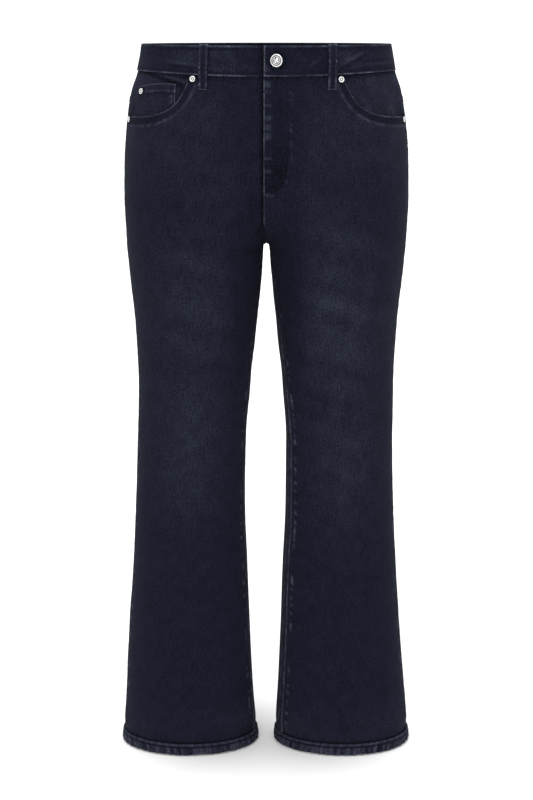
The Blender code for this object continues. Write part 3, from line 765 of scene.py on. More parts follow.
def leg_levels():
    """Levels from EVEN_FROM down to the hem, crowded at the crotch."""
    seat = CROTCH + (EVEN_FROM - CROTCH) * (1 - np.arange(SEAT_ROWS) / SEAT_ROWS) ** 1.7
    leg = CROTCH - (CROTCH - PANEL_FOOT) * (np.arange(1, LEG_ROWS + 1) / LEG_ROWS) ** 1.3
    return np.concatenate([seat, [CROTCH + 0.02, CROTCH - 0.02], leg])


def clear_of_centre(points, side, level):
    """At the crotch's corner, keeps a panel on its own side of the centre plane."""
    points[(level < CROTCH + 1) & (side * points[:, 0] < 0), 0] = 0
    return points


FAN = 16.0  # the columns from the mouth's steep part spread out this much by EVEN_FROM
NEAR_ROWS = 9  # rows that keep square to the top edge
FAR_OFF = 1e3  # stands for a place too low to lie near the pocket's mouth


def scoop_flow():
    """The way along the pocket's mouth at each point of its curve, of length 1."""
    flow = np.gradient(SCOOP_CURVE, axis=0)
    return flow / np.linalg.norm(flow, axis=1, keepdims=True)


def front_top(side, share, offset):
    """The top edge of a front panel: points that walk along the pocket's mouth and then the waist seam,
    the direction into the cloth at each, and where each one's column arrives at EVEN_FROM."""
    end, mouth = float(front_end(side, PANEL_TOP)), SCOOP_WALK[-1]
    walk = share * (mouth + end - MOUTH_CORNER) + offset
    on_mouth = walk < mouth
    past = MOUTH_CORNER + walk - mouth
    along = np.where(on_mouth, np.interp(walk, SCOOP_WALK, SCOOP_CURVE[:, 0]), past)
    level = np.where(on_mouth, np.interp(walk, SCOOP_WALK, SCOOP_CURVE[:, 1]), PANEL_TOP)
    flow = scoop_flow()
    into_along = np.where(on_mouth, np.interp(walk, SCOOP_WALK, flow[:, 1]), 0.0)
    into_level = np.where(on_mouth, -np.interp(walk, SCOOP_WALK, flow[:, 0]), -1.0)
    low_end = float(front_end(side, EVEN_FROM))
    up_mouth = np.clip(1 - (PANEL_TOP - level) / SCOOP_DROP, 0, 1)
    after_mouth = mix(MOUTH_CORNER + FAN, low_end, (along - MOUTH_CORNER) / (end - MOUTH_CORNER))
    low = np.where(on_mouth, along + FAN * up_mouth**1.2, after_mouth)
    return along, level, into_along, into_level, (low - OUTSEAM) / (low_end - OUTSEAM)


def front_grid(side):
    """A front panel's grid: each point's row, its distance forward, its level, how far the side and the top
    edge roll it in, and whether it is on the waist seam."""
    share, offset, rolled = lines(SCOOP_COLUMNS + TOP_COLUMNS - 2)
    top_along, top_level, into_along, into_level, low_share = front_top(side, share, offset)
    near = np.array(NEAR[:NEAR_ROWS])
    lower = leg_levels()
    rows = NEAR_ROWS + UPPER_ROWS + len(lower) - 2
    piece, column, row = grid(f"front_{SIDE_NAMES[side]}", len(share) - 1, rows)

    # square to the top edge first. At the corner where the mouth meets the seam the rows are mitred.
    step = near[np.clip(row, 0, NEAR_ROWS - 1)]
    start_along = top_along[column] + into_along[column] * step
    start_level = np.minimum(top_level[column] + into_level[column] * step, PANEL_TOP - step)
    after = top_along[column] >= MOUTH_CORNER
    start_along = np.where(after, np.maximum(start_along, MOUTH_CORNER + step), start_along)
    # then straight down to EVEN_FROM, each column to its own place
    down = np.clip((row - NEAR_ROWS + 1) / UPPER_ROWS, 0, 1) ** 1.35
    ends = front_end(side, np.full(1, EVEN_FROM))[0]
    level = mix(start_level, EVEN_FROM, down)
    along = mix(start_along, OUTSEAM + low_share[column] * (ends - OUTSEAM), down)
    # the last column follows the fly, so the ones beside it move over with it
    even_top = PANEL_TOP - near[-1]
    lowered = np.clip((even_top - level) / (even_top - EVEN_FROM), 0, 1)
    line_end = mix(float(front_end(side, PANEL_TOP)), ends, lowered)
    beside = np.clip((along - MOUTH_CORNER - 6) / (line_end - MOUTH_CORNER - 6), 0, 1)
    along += (front_end(side, level) - line_end) * beside
    # and below it in level rows
    deep = row >= NEAR_ROWS + UPPER_ROWS - 1
    level = np.where(deep, lower[np.clip(row - NEAR_ROWS - UPPER_ROWS + 1, 0, len(lower) - 1)], level)
    settled = ramp(-level, -EVEN_FROM, 250.0)
    even_share = mix(low_share[column], share[column], settled)
    even = mix(OUTSEAM + SEAM_GAP / 2, front_end(side, level), even_share) + offset[column] * settled
    along = np.where(deep, even, along)
    roll_top = np.array(ROLLED)[np.clip(row, 0, NEAR_ROWS - 1)] * (row < NEAR_ROWS)
    return piece, row, along, level, rolled[column], roll_top, (row == 0) & after


def front_panel(side):
    piece, row, along, level, roll_side, roll_top, at_seam = front_grid(side)
    outer, from_edge, waist_gap = along - OUTSEAM, front_end(side, level) - along, PANEL_TOP - level
    flat_side, flat_top = roll_side == 0, roll_top == 0
    below, near_mouth, hip = level < CROTCH, level > MOUTH_FOOT - 25, level > MOUTH_FOOT - 30
    from_mouth, mouth_walk = from_scoop(np.where(hip, along, FAR_OFF), np.where(hip, level, FAR_OFF))

    out = -np.maximum(roll_side, roll_top)
    out += seam_relief(outer, level, 20 + side, band=7.0, high=0.35, pucker=0.22) * flat_side
    inseam = seam_relief(from_edge, level, 24 + side, band=9.0, high=0.5, pucker=0.3)
    out += np.where(below, inseam, 0) * flat_side
    mouth = seam_relief(from_mouth, mouth_walk, 28 + side, band=10.0, high=0.5, pucker=0.2)
    out += mouth * flat_top * near_mouth
    dent, rivet_shade = pressed(side, level, along)
    out -= 0.35 * dent * flat_top
    out -= FOOT_PULL * ramp(level, HEM_TOP + 20, HEM_TOP)
    # the waist seam draws the cloth in a little
    out += 0.25 * wander(along, 6.0, 33 + side) * hump(waist_gap, 9) * flat_top

    wear = seam_wear(outer, level, 40 + side, 7.0) * 0.75
    wear += np.where(below, seam_wear(from_edge, level, 44 + side, 9.0), 0)
    wear += seam_wear(from_mouth, mouth_walk, 48 + side, 12.4, dimpled=0.13, steady=0.15) * near_mouth
    wear -= 0.26 * hump(from_mouth - 6.0, 3.6, 4) * near_mouth * (1 - 0.7 * ramp(along, 75, 100))
    from_centre = reach(side, FRONT, level) - along
    if side == RIGHT:
        out, wear = under_fly(level, from_centre, out, wear)
    else:
        out, wear = over_fly(level, from_centre, from_edge, out, wear)
    # painted shadow round each rivet, and in a line just under the waistband
    wear -= 0.55 * rivet_shade + 0.35 * hump(waist_gap - 2.0, 2.0)

    foot = row == row.max()
    out = np.where(at_seam, -TUCK_IN, np.where(foot, -FOOT_IN, out))
    points = on_jeans(side, level + TUCK_UP * at_seam - TUCK_DOWN * foot, -along, out)
    points = clear_of_centre(points, side, level)
    wear += fade(points)
    shape_grid(piece, points, grain(-along * side, level), wear, read_map(side, level, -along)[1])
    thicken(piece)
    finish_cloth(piece, flat=(0.225, 0.962), area=0.193, held="hung", rests_on=["waistband"])
    return piece


# %% [markdown]
# The fly is part of the fronts. On the wearer's left the edge is folded, faced and sewn down along a J, so
# that strip is thicker. The right front runs under it, pressed back by its thickness. Below the fly the two
# fronts are joined down to the crotch, and the left one still lies on top.

# %% The fly
J_FROM, J_STRAIGHT, J_END = 34.0, -150.0, -197.0  # mm from the fly's edge, and levels
TACKS = (-146.0, -163.0, -195.0)  # levels of the bar tacks that hold the fly's facing


def j_distance(level):
    """How far the J of stitches lies from the centre line at each level."""
    curve = np.sqrt(np.clip(1 - ((level - J_STRAIGHT) / (J_END - J_STRAIGHT)) ** 2, 0, 1))
    return np.where(level > J_STRAIGHT, J_FROM - FLY_OVER, mix(-1.0, J_FROM - FLY_OVER, curve))


def under_fly(level, from_centre, out, wear):
    """The right front goes back under the left one, with a painted shadow on the cloth beside the lap."""
    sink = FLY_SINK * ramp(from_centre, FLY_SINK_FROM, FLY_SINK_FULL)
    sink = sink * ramp(level, CROTCH + 1.5, CROTCH + 8.5)
    up_fly = ramp(level, CROTCH + 10, CROTCH + 40)
    crest = hump(from_centre - 14, 5) * up_fly
    shadow = 0.8 * hump(np.clip(from_centre - FLY_OVER, 0, None), 4.2) * up_fly
    # painted shade of a fold that comes down beside the fly, and in to it at the crotch
    beside = mix(6.0, 20.0, ramp(level, -262, -232))
    shadow += 0.34 * hump(from_centre - beside, 6.0) * ramp(level, -172, -200)
    return out - np.where(level >= CROTCH, sink - 0.5 * crest, 0), wear - shadow


def over_fly(level, from_centre, from_edge, out, wear):
    """The left front is folded, faced and sewn down along the J, and rubbed pale along its edge."""
    above, j = level >= CROTCH, j_distance(level)
    inside = (1 - ramp(from_centre, j - 1.5, j + 1.2)) * (level > J_END - 4)
    seam_part = (1 - ramp(from_centre, 5.0, 8.5)) * ramp(level, CROTCH + 8, CROTCH + 24)
    ripple = 0.3 * wander(level, 6.5, 60) * hump(from_edge, 9)
    ridge = 0.25 * hump(from_centre - j, 3.0) * (level > J_END) * (1 + wander(level, 5.0, 61))
    out = out + np.where(above, 0.75 * np.maximum(inside, seam_part) + ripple + ridge, 0)
    uneven = np.clip(0.75 + 0.4 * wander(level, 14, 62) + 0.3 * wander(level, 4, 63), 0, 1.3)
    line = hump(from_edge, 1.0) * uneven * mix(0.1, 0.62, ramp(level, CROTCH + 28, CROTCH + 42))
    for tack in TACKS:
        line += 0.3 * hump(level - tack, 1.1, 4) * ramp(from_edge, 0, 2) * (1 - ramp(from_edge, 10, 12))
    # short pale strokes across the facing, above the tacks
    strokes = hump(from_edge - 5.5, 4.5) * ramp(level, TACKS[0] - 4, TACKS[0] + 14)
    line += (0.05 + 0.26 * np.clip(wander(level, 4.6, 66), -0.4, 1)) * strokes
    # inside the J the dye is kept, and its stitches draw a row of pale dots
    kept = 0.34 * inside * (1 - ramp(level, -160, -110)) + 0.16 * inside * ramp(from_edge, 9, 14)
    dots = hump(from_centre - j, 1.8) * (level > J_END) * (0.05 + 0.34 * wander(level, 3.4, 65))
    return out, wear + np.where(above, line - kept * (line < 0.2) + dots, 0)


FRONTS = {side: front_panel(side) for side in (RIGHT, LEFT)}

# %% [markdown]
# ## Back panels and yokes
#
# Behind, a shallow V-shaped yoke is set in between the waistband and each back panel, and shapes the seat.
# The seams of the yoke and of the centre back are felled: one edge is wrapped round the other and sewn with
# two rows, so they stand up more than the side seams do.

# %% The backs
YOKE_SIDE, YOKE_CENTRE = -78.0, -104.0
BACK_COLUMNS = 58
# a felled seam's edges lie to one side, where its second worn line is strong, and it is faint on the other
FELLED = {
    RIGHT: {"dimpled": 0.1, "steady": 0.0},
    LEFT: {"dimpled": 0.34, "steady": 0.08},
}


def yoke_seam(share):
    """The yoke seam's level, from the outseam, 0, to the centre back, 1."""
    return mix(YOKE_SIDE, YOKE_CENTRE, np.clip(share, 0, 1) ** 1.3)


def back_end(side, level):
    end = reach(side, BACK, level)
    return np.where(level < CROTCH, end + inseam_shift(side, level) - SEAM_GAP / 2, end - SEAM_GAP / 2)


def back_panel(side):
    share, offset, rolled = lines(BACK_COLUMNS)
    lower, first = leg_levels(), len(NEAR)
    piece, column, row = grid(f"back_{SIDE_NAMES[side]}", len(share) - 1, first + UPPER_ROWS + len(lower) - 1)
    top = yoke_seam(share[column]) - SEAM_GAP
    near_row = np.clip(row, 0, first - 1)
    between = mix(top - NEAR[-1], EVEN_FROM, np.clip((row - first + 1) / UPPER_ROWS, 0, 1))
    level = np.where(row < first, top - np.array(NEAR)[near_row], between)
    deep_row = np.clip(row - first - UPPER_ROWS + 1, 0, len(lower) - 1)
    level = np.where(row >= first + UPPER_ROWS - 1, lower[deep_row], level)
    start, end = -OUTSEAM + SEAM_GAP / 2, back_end(side, level)
    along = mix(start, end, share[column]) + offset[column]
    roll_side, roll_top = rolled[column], np.array(ROLLED)[near_row] * (row < first)
    flat = roll_side == 0
    outer, inner = along - start, end - along

    out = -np.maximum(roll_side, roll_top)
    out += seam_relief(outer, level, 70 + side, band=7.0, high=0.25, pucker=0.22) * flat
    out += seam_relief(inner, level, 74 + side, band=9.0, high=0.6, pucker=0.3) * flat
    out += seam_relief(top - level, along, 78 + side, band=2.0, high=0.1, pucker=0.25) * (roll_top == 0)
    out -= FOOT_PULL * ramp(level, HEM_TOP + 20, HEM_TOP)
    foot = row == row.max()
    out = np.where(foot, -FOOT_IN, out)
    points = clear_of_centre(on_jeans(side, level - TUCK_DOWN * foot, along, out), side, level)
    wear = 0.75 * seam_wear(outer, level, 80 + side, 7.0) + seam_wear(inner, level, 84 + side, **FELLED[side])
    wear += 0.6 * seam_wear(top - level, along, 88 + side, 2.0)
    wear += fade(points)
    shape_grid(piece, points, grain(along * side, level), wear, read_map(side, level, along)[1])
    thicken(piece)
    finish_cloth(piece, flat=(0.262, 0.925), area=0.213, held="hung", rests_on=[f"yoke_{SIDE_NAMES[side]}"])
    return piece


def yoke(side):
    share, offset, rolled = lines(BACK_COLUMNS)
    down, down_offset, down_rolled = lines(8)
    piece, column, row = grid(f"yoke_{SIDE_NAMES[side]}", len(share) - 1, len(down) - 1)
    foot = yoke_seam(share[column])
    level = mix(PANEL_TOP, foot, down[row]) - down_offset[row]
    start, end = -OUTSEAM + SEAM_GAP / 2, reach(side, BACK, level) - SEAM_GAP / 2
    along = mix(start, end, share[column]) + offset[column]
    out = -np.maximum(rolled[column], down_rolled[row])
    flat = out == 0
    out += seam_relief(level - foot, along, 90 + side, band=9.0, high=0.6, pucker=0.3) * flat
    out += seam_relief(end - along, level, 94 + side, band=9.0, high=0.6, pucker=0.25) * flat
    out += 0.25 * wander(along, 6.0, 97 + side) * hump(PANEL_TOP - level, 9) * flat
    wear = seam_wear(level - foot, along, 98 + side, **FELLED[side])
    wear += seam_wear(end - along, level, 100 + side, **FELLED[side])
    wear += 0.8 * seam_wear(along - start, level, 103 + side, 7.0)
    tucked = row == 0
    out = np.where(tucked, np.minimum(out, -TUCK_IN), out)
    points = on_jeans(side, level + TUCK_UP * tucked, along, out)
    shape_grid(piece, points, grain(along * side, level), wear, read_map(side, level, along)[1])
    thicken(piece)
    finish_cloth(piece, flat=(0.208, 0.072), area=0.0128, held="hung", rests_on=["waistband"])
    return piece


BACKS = {side: back_panel(side) for side in (RIGHT, LEFT)}
YOKES = {side: yoke(side) for side in (RIGHT, LEFT)}

# %% [markdown]
# ## Pockets
#
# Behind each pocket mouth lies the hip facing, a piece of the same denim. On the wearer's right it carries
# the small coin pocket. The two patch pockets behind are cut with a pointed foot, their edges pressed under,
# and sewn on with two rows. A patch is made from the points of the panel it lies on, moved out, so it
# follows every fold.

# %% Hip facings and the coin pocket
FACING_SINK, FACING_SINK_DEEP, FACING_PAST, FACING_BEHIND = 2.8, 5.2, 26.0, 8.0
COIN_WIDTH, COIN_FROM, COIN_TOP, COIN_TILT = 63.0, 29.0, -55.5, 7.0
COIN_BOTTOM, COIN_SINK, COIN_SHEAR = -116.0, 3.5, 0.26


def hip_facing(side):
    columns, rows = 70, 46
    piece, column, row = grid(f"hip_facing_{SIDE_NAMES[side]}", columns, rows)
    across, down = column / columns, row / rows
    level = mix(PANEL_TOP, PANEL_TOP - SCOOP_DROP - FACING_PAST, down)
    start = mix(OUTSEAM + SEAM_GAP, OUTSEAM - FACING_BEHIND, ramp(level, -88, -96))
    along = mix(start, OUTSEAM + (SCOOP_LENGTH + FACING_PAST) * np.sqrt(1 - 0.75 * down**3), across)
    # it is sewn to the back at the outseam, and below the mouth it goes in under the front
    shallow = mix(0.3, FACING_SINK, ramp(level, -84, -93.5))
    sink = mix(shallow, FACING_SINK_DEEP, ramp(along, OUTSEAM + 1, COIN_FROM - 1))
    # it rises to the waist seam, and a slack fold runs from there down to the mouth
    sink = mix(sink, 0.5, ramp(level, PANEL_TOP - 12, PANEL_TOP - 1) * (1 - ramp(along, 90, 102)))
    from_fold = level + 47.5 + 0.22 * (along - 92)
    spread = ramp(along, 24, 44) * (1 - ramp(along, 98, 108)) * (side == RIGHT)
    ridge = hump(from_fold - 3.6, 2.6) * spread
    trough = hump(from_fold, 1.9) * spread
    out = -sink + 0.7 * ridge - 0.9 * trough + 0.2 * wander(along, 9, 110) * wander(level, 12, 111)
    tucked = row == 0
    out = np.where(tucked, -TUCK_IN, out)
    points = on_jeans(side, level + TUCK_UP * tucked, -along, out)
    # uneven wear, paler on the fold's ridge, partly wear and partly painted light; painted shadow in the
    # fold's trough and just under the waistband
    wear = 0.05 + 0.1 * np.clip(wander(along, 11, 112) * wander(level, 9, 113), 0, 1) + 0.10 * ridge
    wear -= 0.75 * trough + 0.3 * hump(PANEL_TOP - level, 3.0)
    outward = read_map(side, level, -along)[1]
    shape_grid(piece, points, grain(-along * side, level), wear, outward, FOLD_DARKEST)
    thicken(piece, 1.0)
    finish_cloth(piece, flat=(0.119, 0.083), area=0.0088, held="laid", rests_on=[f"front_{SIDE_NAMES[side]}"])


def coin_top(across):
    """The level of the coin pocket's top edge, which arches up towards the fly."""
    across = np.clip(across, 0, 1)
    return COIN_TOP + COIN_TILT * (2.1 * across**0.85 - 1.05 * across**2.2)


def coin_turn(along, top, level):
    """A place on the coin pocket, moved over so that its sides hang straight down."""
    return along + mix(0.08, COIN_SHEAR, (along - COIN_FROM) / COIN_WIDTH) * (top - level)


def coin_pocket():
    share, offset, rolled = lines(16)
    down, down_offset, down_rolled = lines(12)
    piece, column, row = grid("coin_pocket", len(share) - 1, len(down) - 1)
    along = mix(COIN_FROM, COIN_FROM + COIN_WIDTH, share[column]) + offset[column]
    across = (along - COIN_FROM) / COIN_WIDTH
    top = coin_top(across)
    level = mix(top, COIN_BOTTOM, down[row]) - down_offset[row]
    turned = coin_turn(along, top, level)
    out = -COIN_SINK - np.minimum(np.maximum(rolled[column], down_rolled[row]) * 0.5, 1.2)
    under = (1 - ramp(top - level, 10.0, 12.5)) * 0.45 + 0.35 * hump(top - level, 3)
    side_edge = COIN_FROM + COIN_WIDTH - along
    out += under + 0.25 * (1 - ramp(side_edge, 3, 5)) + 0.15 * wander(along, 5, 120) * wander(level, 5, 121)
    points = on_jeans(RIGHT, level, -turned, out)
    rivet_shade = pressed(RIGHT, level, turned)[1]
    wear = seam_wear(top - level, along, 122, 10.8, 0.1) + seam_wear(side_edge, level, 124, 6.0, 0.25)
    # painted shadow round the rivet
    wear -= 0.55 * rivet_shade
    wear += 0.03 + 0.16 * hump(top - level - 10.8, 1.3)
    # painted shade in a line just under the step of the turned top
    wear -= 0.3 * hump(top - level - 13.4, 1.3)
    shape_grid(piece, points, grain(along, level), wear, read_map(RIGHT, level, -turned)[1])
    thicken(piece, 0.8)
    finish_cloth(piece, flat=(0.07, 0.067), area=0.0045, held="laid", rests_on=["hip_facing_right"])
    return piece


for one_side in (RIGHT, LEFT):
    hip_facing(one_side)
COIN = coin_pocket()

# %% Back pockets
POCKET_WIDTH, POCKET_FOOT, POCKET_HEIGHT, POCKET_POINT = 138.0, 118.0, 138.0, 20.0
POCKET_FROM_CENTRE, POCKET_BELOW_YOKE, POCKET_LEAN = 40.0, 9.0, 7.0
POCKET_OUT = 2.1  # the patch's outer face stands this far out from the panel's


def pocket_spot(side, across, down):
    """Level and distance round of a point of a back pocket: across from the centre back outwards, 0 to 1."""
    width = mix(POCKET_WIDTH, POCKET_FOOT, down)
    from_centre = (POCKET_WIDTH - width) / 2 + POCKET_FROM_CENTRE + width * across
    top = YOKE_CENTRE - POCKET_BELOW_YOKE + POCKET_LEAN * across
    foot = top - POCKET_HEIGHT + POCKET_POINT * np.abs(2 * across - 1)
    level = mix(top, foot, down)
    return level, reach(side, BACK, level) - from_centre


def back_pocket(side):
    share, offset, rolled = lines(38)
    down, down_offset, down_rolled = lines(40)
    piece, column, row = grid(f"back_pocket_{SIDE_NAMES[side]}", len(share) - 1, len(down) - 1)
    across = np.clip(share[column] + offset[column] / POCKET_WIDTH, 0, 1)
    height = POCKET_HEIGHT - POCKET_POINT * np.abs(2 * across - 1)
    lower = np.clip(down[row] + down_offset[row] / height, 0, 1)
    level, along = pocket_spot(side, across, lower)
    from_side = np.minimum(across, 1 - across) * POCKET_WIDTH
    from_top, from_foot = lower * height, (1 - lower) * height
    edge = np.minimum(from_side, from_foot)
    pillow = ramp(edge, 2, 30) * ramp(from_top, -6, 40) * 0.9
    mouth = hump(from_top, 16) * ramp(from_side, 4, 45) * 1.3
    out = POCKET_OUT - np.minimum(np.maximum(rolled[column], down_rolled[row]) * 0.75, 1.5) + pillow + mouth
    out += 0.35 * (1 - ramp(edge, 7, 9)) + 0.4 * (1 - ramp(from_top, 14, 17))
    ripple = wander(np.where(from_side < from_foot, level, along), 5, 130 + side)
    out += 0.22 * ripple * hump(edge, 9)
    points = on_jeans(side, level, along, out)
    wear = seam_wear(edge, level + along, 133 + side, 7.5) + seam_wear(from_top, along, 136 + side, 15.0)
    wear += fade(points) * 1.2
    shape_grid(piece, points, grain(along * side, level), wear, read_map(side, level, along)[1])
    thicken(piece, 1.0)
    finish_cloth(piece, flat=(0.139, 0.139), area=0.0172, held="laid", rests_on=[f"back_{SIDE_NAMES[side]}"])
    return piece


BACK_POCKETS = {side: back_pocket(side) for side in (RIGHT, LEFT)}

# %% [markdown]
# ## Folded strips: the waistband, the belt loops and the hems
#
# These pieces are cloth folded double, so each one is a closed skin round a thick strip. The grid's rows run
# up the strip's front and down its back, and meet where the fold closes. Waistband and loops end in a turned
# edge, where front and back come together. A hem has no end, because its last column meets its first.

# %% Making a folded strip
def rounded_half(width_from, width_to, half, middle, round_from, round_to):
    """Positions across a strip and its half thickness there, thinning to nothing over its two edges."""
    turn = np.linspace(0, math.pi / 2, 6)
    start = width_from + round_from * (1 - np.cos(turn)) * np.sign(width_to - width_from)
    end = width_to - round_to * (1 - np.cos(turn[::-1])) * np.sign(width_to - width_from)
    inner = np.linspace(start[-1], end[0], middle + 2)[1:-1]
    positions = np.concatenate([start, inner, end])
    halves = half * np.concatenate([np.sin(turn), np.ones(middle), np.sin(turn[::-1])])
    return positions, halves


def folded_strip(name, lengths, positions, halves, place, ends_close, **cut):
    """A closed strip. place(lengths, positions, out from its middle) gives points, wear with its painted
    shade, outward and UVs.
    """
    rows = 2 * len(positions) - 2
    piece, column, row = grid(name, len(lengths) - 1, rows)
    outer = row < len(positions)
    index = np.where(outer, row, rows - row)
    half = halves[index] * np.where(outer, 1, -1)
    if ends_close:
        from_end = np.minimum(np.abs(lengths[column] - lengths[0]), np.abs(lengths[-1] - lengths[column]))
        half = half * np.sqrt(1 - (1 - np.clip(from_end / 1.6, 0, 1)) ** 2)
    points, wear, outward, cloth_uv = place(lengths[column], positions[index], half)
    cloth_uv = cloth_uv + np.column_stack([np.zeros(len(row)), np.where(outer, 0, 0.1)])
    shape_grid(piece, points, cloth_uv, wear, outward)
    set_active(piece)
    bpy.ops.object.mode_set(mode="EDIT")
    bpy.ops.mesh.select_all(action="SELECT")
    bpy.ops.mesh.remove_doubles(threshold=0.00001)
    bpy.ops.mesh.normals_make_consistent(inside=False)
    bpy.ops.object.mode_set(mode="OBJECT")
    piece.data.materials.append(OUTSIDE)
    finish_cloth(piece, **cut)
    return piece


def even_lines(start, end, step, fine=()):
    """Lines from start to end about step apart, with extra ones at the given distances in from each end."""
    direction = math.copysign(1, end - start)
    inset = fine[-1] if fine else 0.0
    count = max(2, round((abs(end - start) - 2 * inset) / step))
    middle = np.linspace(start + direction * inset, end - direction * inset, count + 1)
    first = [start + direction * d for d in fine[:-1]]
    last = [end - direction * d for d in fine[-2::-1]]
    return np.concatenate([first, middle, last])


# %% The waistband
BAND_UNDER, BAND_OVER, BAND_SINK = 32.0, 3.5, 3.6
END_LINES = (0.0, 0.15, 0.5, 1.0, 1.6, 2.4)
BUTTON_ACROSS, BUTTON_LEVEL, BUTTON_TURN = 13.2, -17.3, 20.0


def ring_parts(level):
    """The four quarters of the waist at each level, from the centre front to the wearer's right and round."""
    quarters = ((RIGHT, FRONT), (RIGHT, BACK), (LEFT, BACK), (LEFT, FRONT))
    return tuple(reach(side, face, level) for side, face in quarters)


WAIST = float(sum(ring_parts(0.0)))


def waist_spot(level, travelled):
    """Side and distance round of a place that is travelled mm round the waist from the centre front."""
    front_right, back_right, back_left, front_left = ring_parts(level)
    to_back = front_right + back_right
    side = np.where((travelled >= 0) & (travelled <= to_back), RIGHT, LEFT)
    on_right = travelled - front_right
    on_left = np.where(travelled < 0, -(front_left + travelled), to_back + back_left - travelled)
    return side, np.where(side == RIGHT, on_right, on_left)


def round_waist(level, travelled, out):
    """Points and normals round the waist."""
    level, travelled, out = (np.ravel(a).astype(float) for a in np.broadcast_arrays(level, travelled, out))
    sides, around = waist_spot(level, travelled)
    points, outward = np.empty((len(level), 3)), np.empty((len(level), 3))
    for side in (RIGHT, LEFT):
        own = sides == side
        if own.any():
            points[own] = on_jeans(side, level[own], around[own], out[own])
            outward[own] = read_map(side, level[own], around[own])[1]
    return points, outward


BAND_CREASES = (  # distance round from the centre front, level, half length, slope and height of each
    (112.0, -22.8, 28.0, 0.05, 0.9),
    (112.0, -25.6, 30.0, 0.05, -0.8),
    (150.0, -14.0, 30.0, 0.05, -0.5),
    (66.0, -12.0, 14.0, 0.3, 0.4),
    (WAIST - 96.0, -17.6, 30.0, -0.30, 1.0),
    (WAIST - 98.0, -20.4, 30.0, -0.30, -0.9),
    (WAIST - 132.0, -24.2, 34.0, 0.0, 0.8),
    (WAIST - 130.0, -21.5, 30.0, 0.0, -0.6),
    (WAIST - 42.0, -21.0, 16.0, -0.35, 0.6),
    (WAIST - 42.0, -24.0, 16.0, -0.35, -0.5),
    (34.0, -20.0, 16.0, 0.5, 0.5),
    (48.0, -24.0, 14.0, 0.4, -0.5),
    (300.0, -20.0, 22.0, 0.3, -0.5),
    (520.0, -19.0, 22.0, -0.3, -0.5),
)


def waistband():
    positions, halves = rounded_half(-BAND_HEIGHT, 0.0, BAND_THICK / 2, 22, 0.9, 1.4)
    lengths = even_lines(-BAND_UNDER, WAIST + BAND_OVER, 2.6, END_LINES)

    def place(travelled, level, half):
        ring = sum(ring_parts(level))
        walked = np.where(travelled > 0, travelled * ring / WAIST, travelled)
        sink = BAND_SINK * (1 - ramp(walked, BAND_OVER + 4.0, 34.0))
        middle = BAND_PROUD - BAND_THICK / 2 - sink
        from_top, from_foot = -level, level + BAND_HEIGHT
        outer = half > 0
        wave = 0.30 * wander(walked, 6.0, 140) * hump(from_foot, 8)
        wave += 0.22 * wander(walked, 5.5, 141) * hump(from_top, 7)
        wave += 0.28 * wander(walked, 31, 142) * wander(level, 14, 143)
        for at, crease_level, half_length, slope, deep in BAND_CREASES:
            along = walked - at
            fold = hump(level - crease_level - slope * along, 1.7)
            wave += deep * fold * np.clip(1 - (along / half_length) ** 2, 0, 1)
        # two rows of stitches pinch the strip
        pinch = 0.22 * (hump(from_foot - 2.2, 0.9) + hump(from_top - 2.6, 0.9))
        swell = 0.25 * hump(level + 19.5, 13)
        out = middle + half + wave + np.where(outer, swell - pinch, 0)
        points, outward = round_waist(level, walked, out)
        uneven = np.clip(0.7 + 0.45 * wander(walked, 10, 145) + 0.25 * wander(walked, 3.5, 146), 0, 1.4)
        lap = np.abs(travelled - WAIST - BAND_OVER)
        wear = uneven * (0.60 * hump(from_foot, 1.7) + 0.34 * hump(from_top - 1.6, 1.3))
        wear += 0.95 * hump(lap, 1.5) * np.clip(0.8 + 0.4 * wander(level, 5, 147), 0, 1.2)
        # uneven wear, and the creases follow the band's waves: paler on their ridges, partly wear and partly
        # painted light, and darker in their troughs, painted shade
        wear += 0.05 * np.clip(wander(walked, 22, 148) + 0.4, 0, 1) + 0.11 * np.clip(wave, -1, 1)
        # painted shade in a line beside each pinched row of stitches
        wear -= 0.25 * hump(from_foot - 3.6, 1.3) + 0.22 * hump(from_top - 4.6, 1.4)
        # painted shadow on the cloth beside the lapped end, and in a ring round the button
        beside = hump(walked - BAND_OVER - 2.0, 4.0) * (travelled > 0) * (travelled < WAIST / 2)
        button = np.hypot(travelled - WAIST + BUTTON_ACROSS, level - BUTTON_LEVEL)
        wear -= 0.6 * beside + 0.5 * hump(button - 9.6, 2.0)
        return points, wear * outer, outward, grain(walked, level)

    return folded_strip(
        "waistband", lengths, positions, halves, place, True,
        flat=(0.85, 0.037), held="folded", rests_on=["yoke_left", "yoke_right"],
    )


BAND = waistband()

# %% The belt loops
LOOP_WIDTH, LOOP_LENGTH, LOOP_THICK, LOOP_STAND = 12.0, 54.5, 2.0, 2.2
LOOP_LEAN = {"belt_loop_front_right": 2.0}  # mm, and the others hang straight
LOOP_FRONT_RIGHT, LOOP_FRONT_LEFT, LOOP_BACK_FROM_SIDE = 82.2, 86.2, 62.0
QUARTER_FRONT = float(reach(RIGHT, FRONT, 0.0))
LOOPS = {
    "belt_loop_front_right": LOOP_FRONT_RIGHT,
    "belt_loop_side_right": QUARTER_FRONT + LOOP_BACK_FROM_SIDE,
    "belt_loop_back": WAIST / 2,
    "belt_loop_side_left": WAIST - QUARTER_FRONT - LOOP_BACK_FROM_SIDE,
    "belt_loop_front_left": WAIST - LOOP_FRONT_LEFT,
}


def loop_travel(travelled, level):
    """Where a loop lies at each level: its half of the waist grows downwards, and it goes with it."""
    grown = sum(ring_parts(level)) - WAIST
    return grown * (0.0 if travelled < QUARTER_FRONT else 0.5 if travelled < WAIST - QUARTER_FRONT else 1.0)


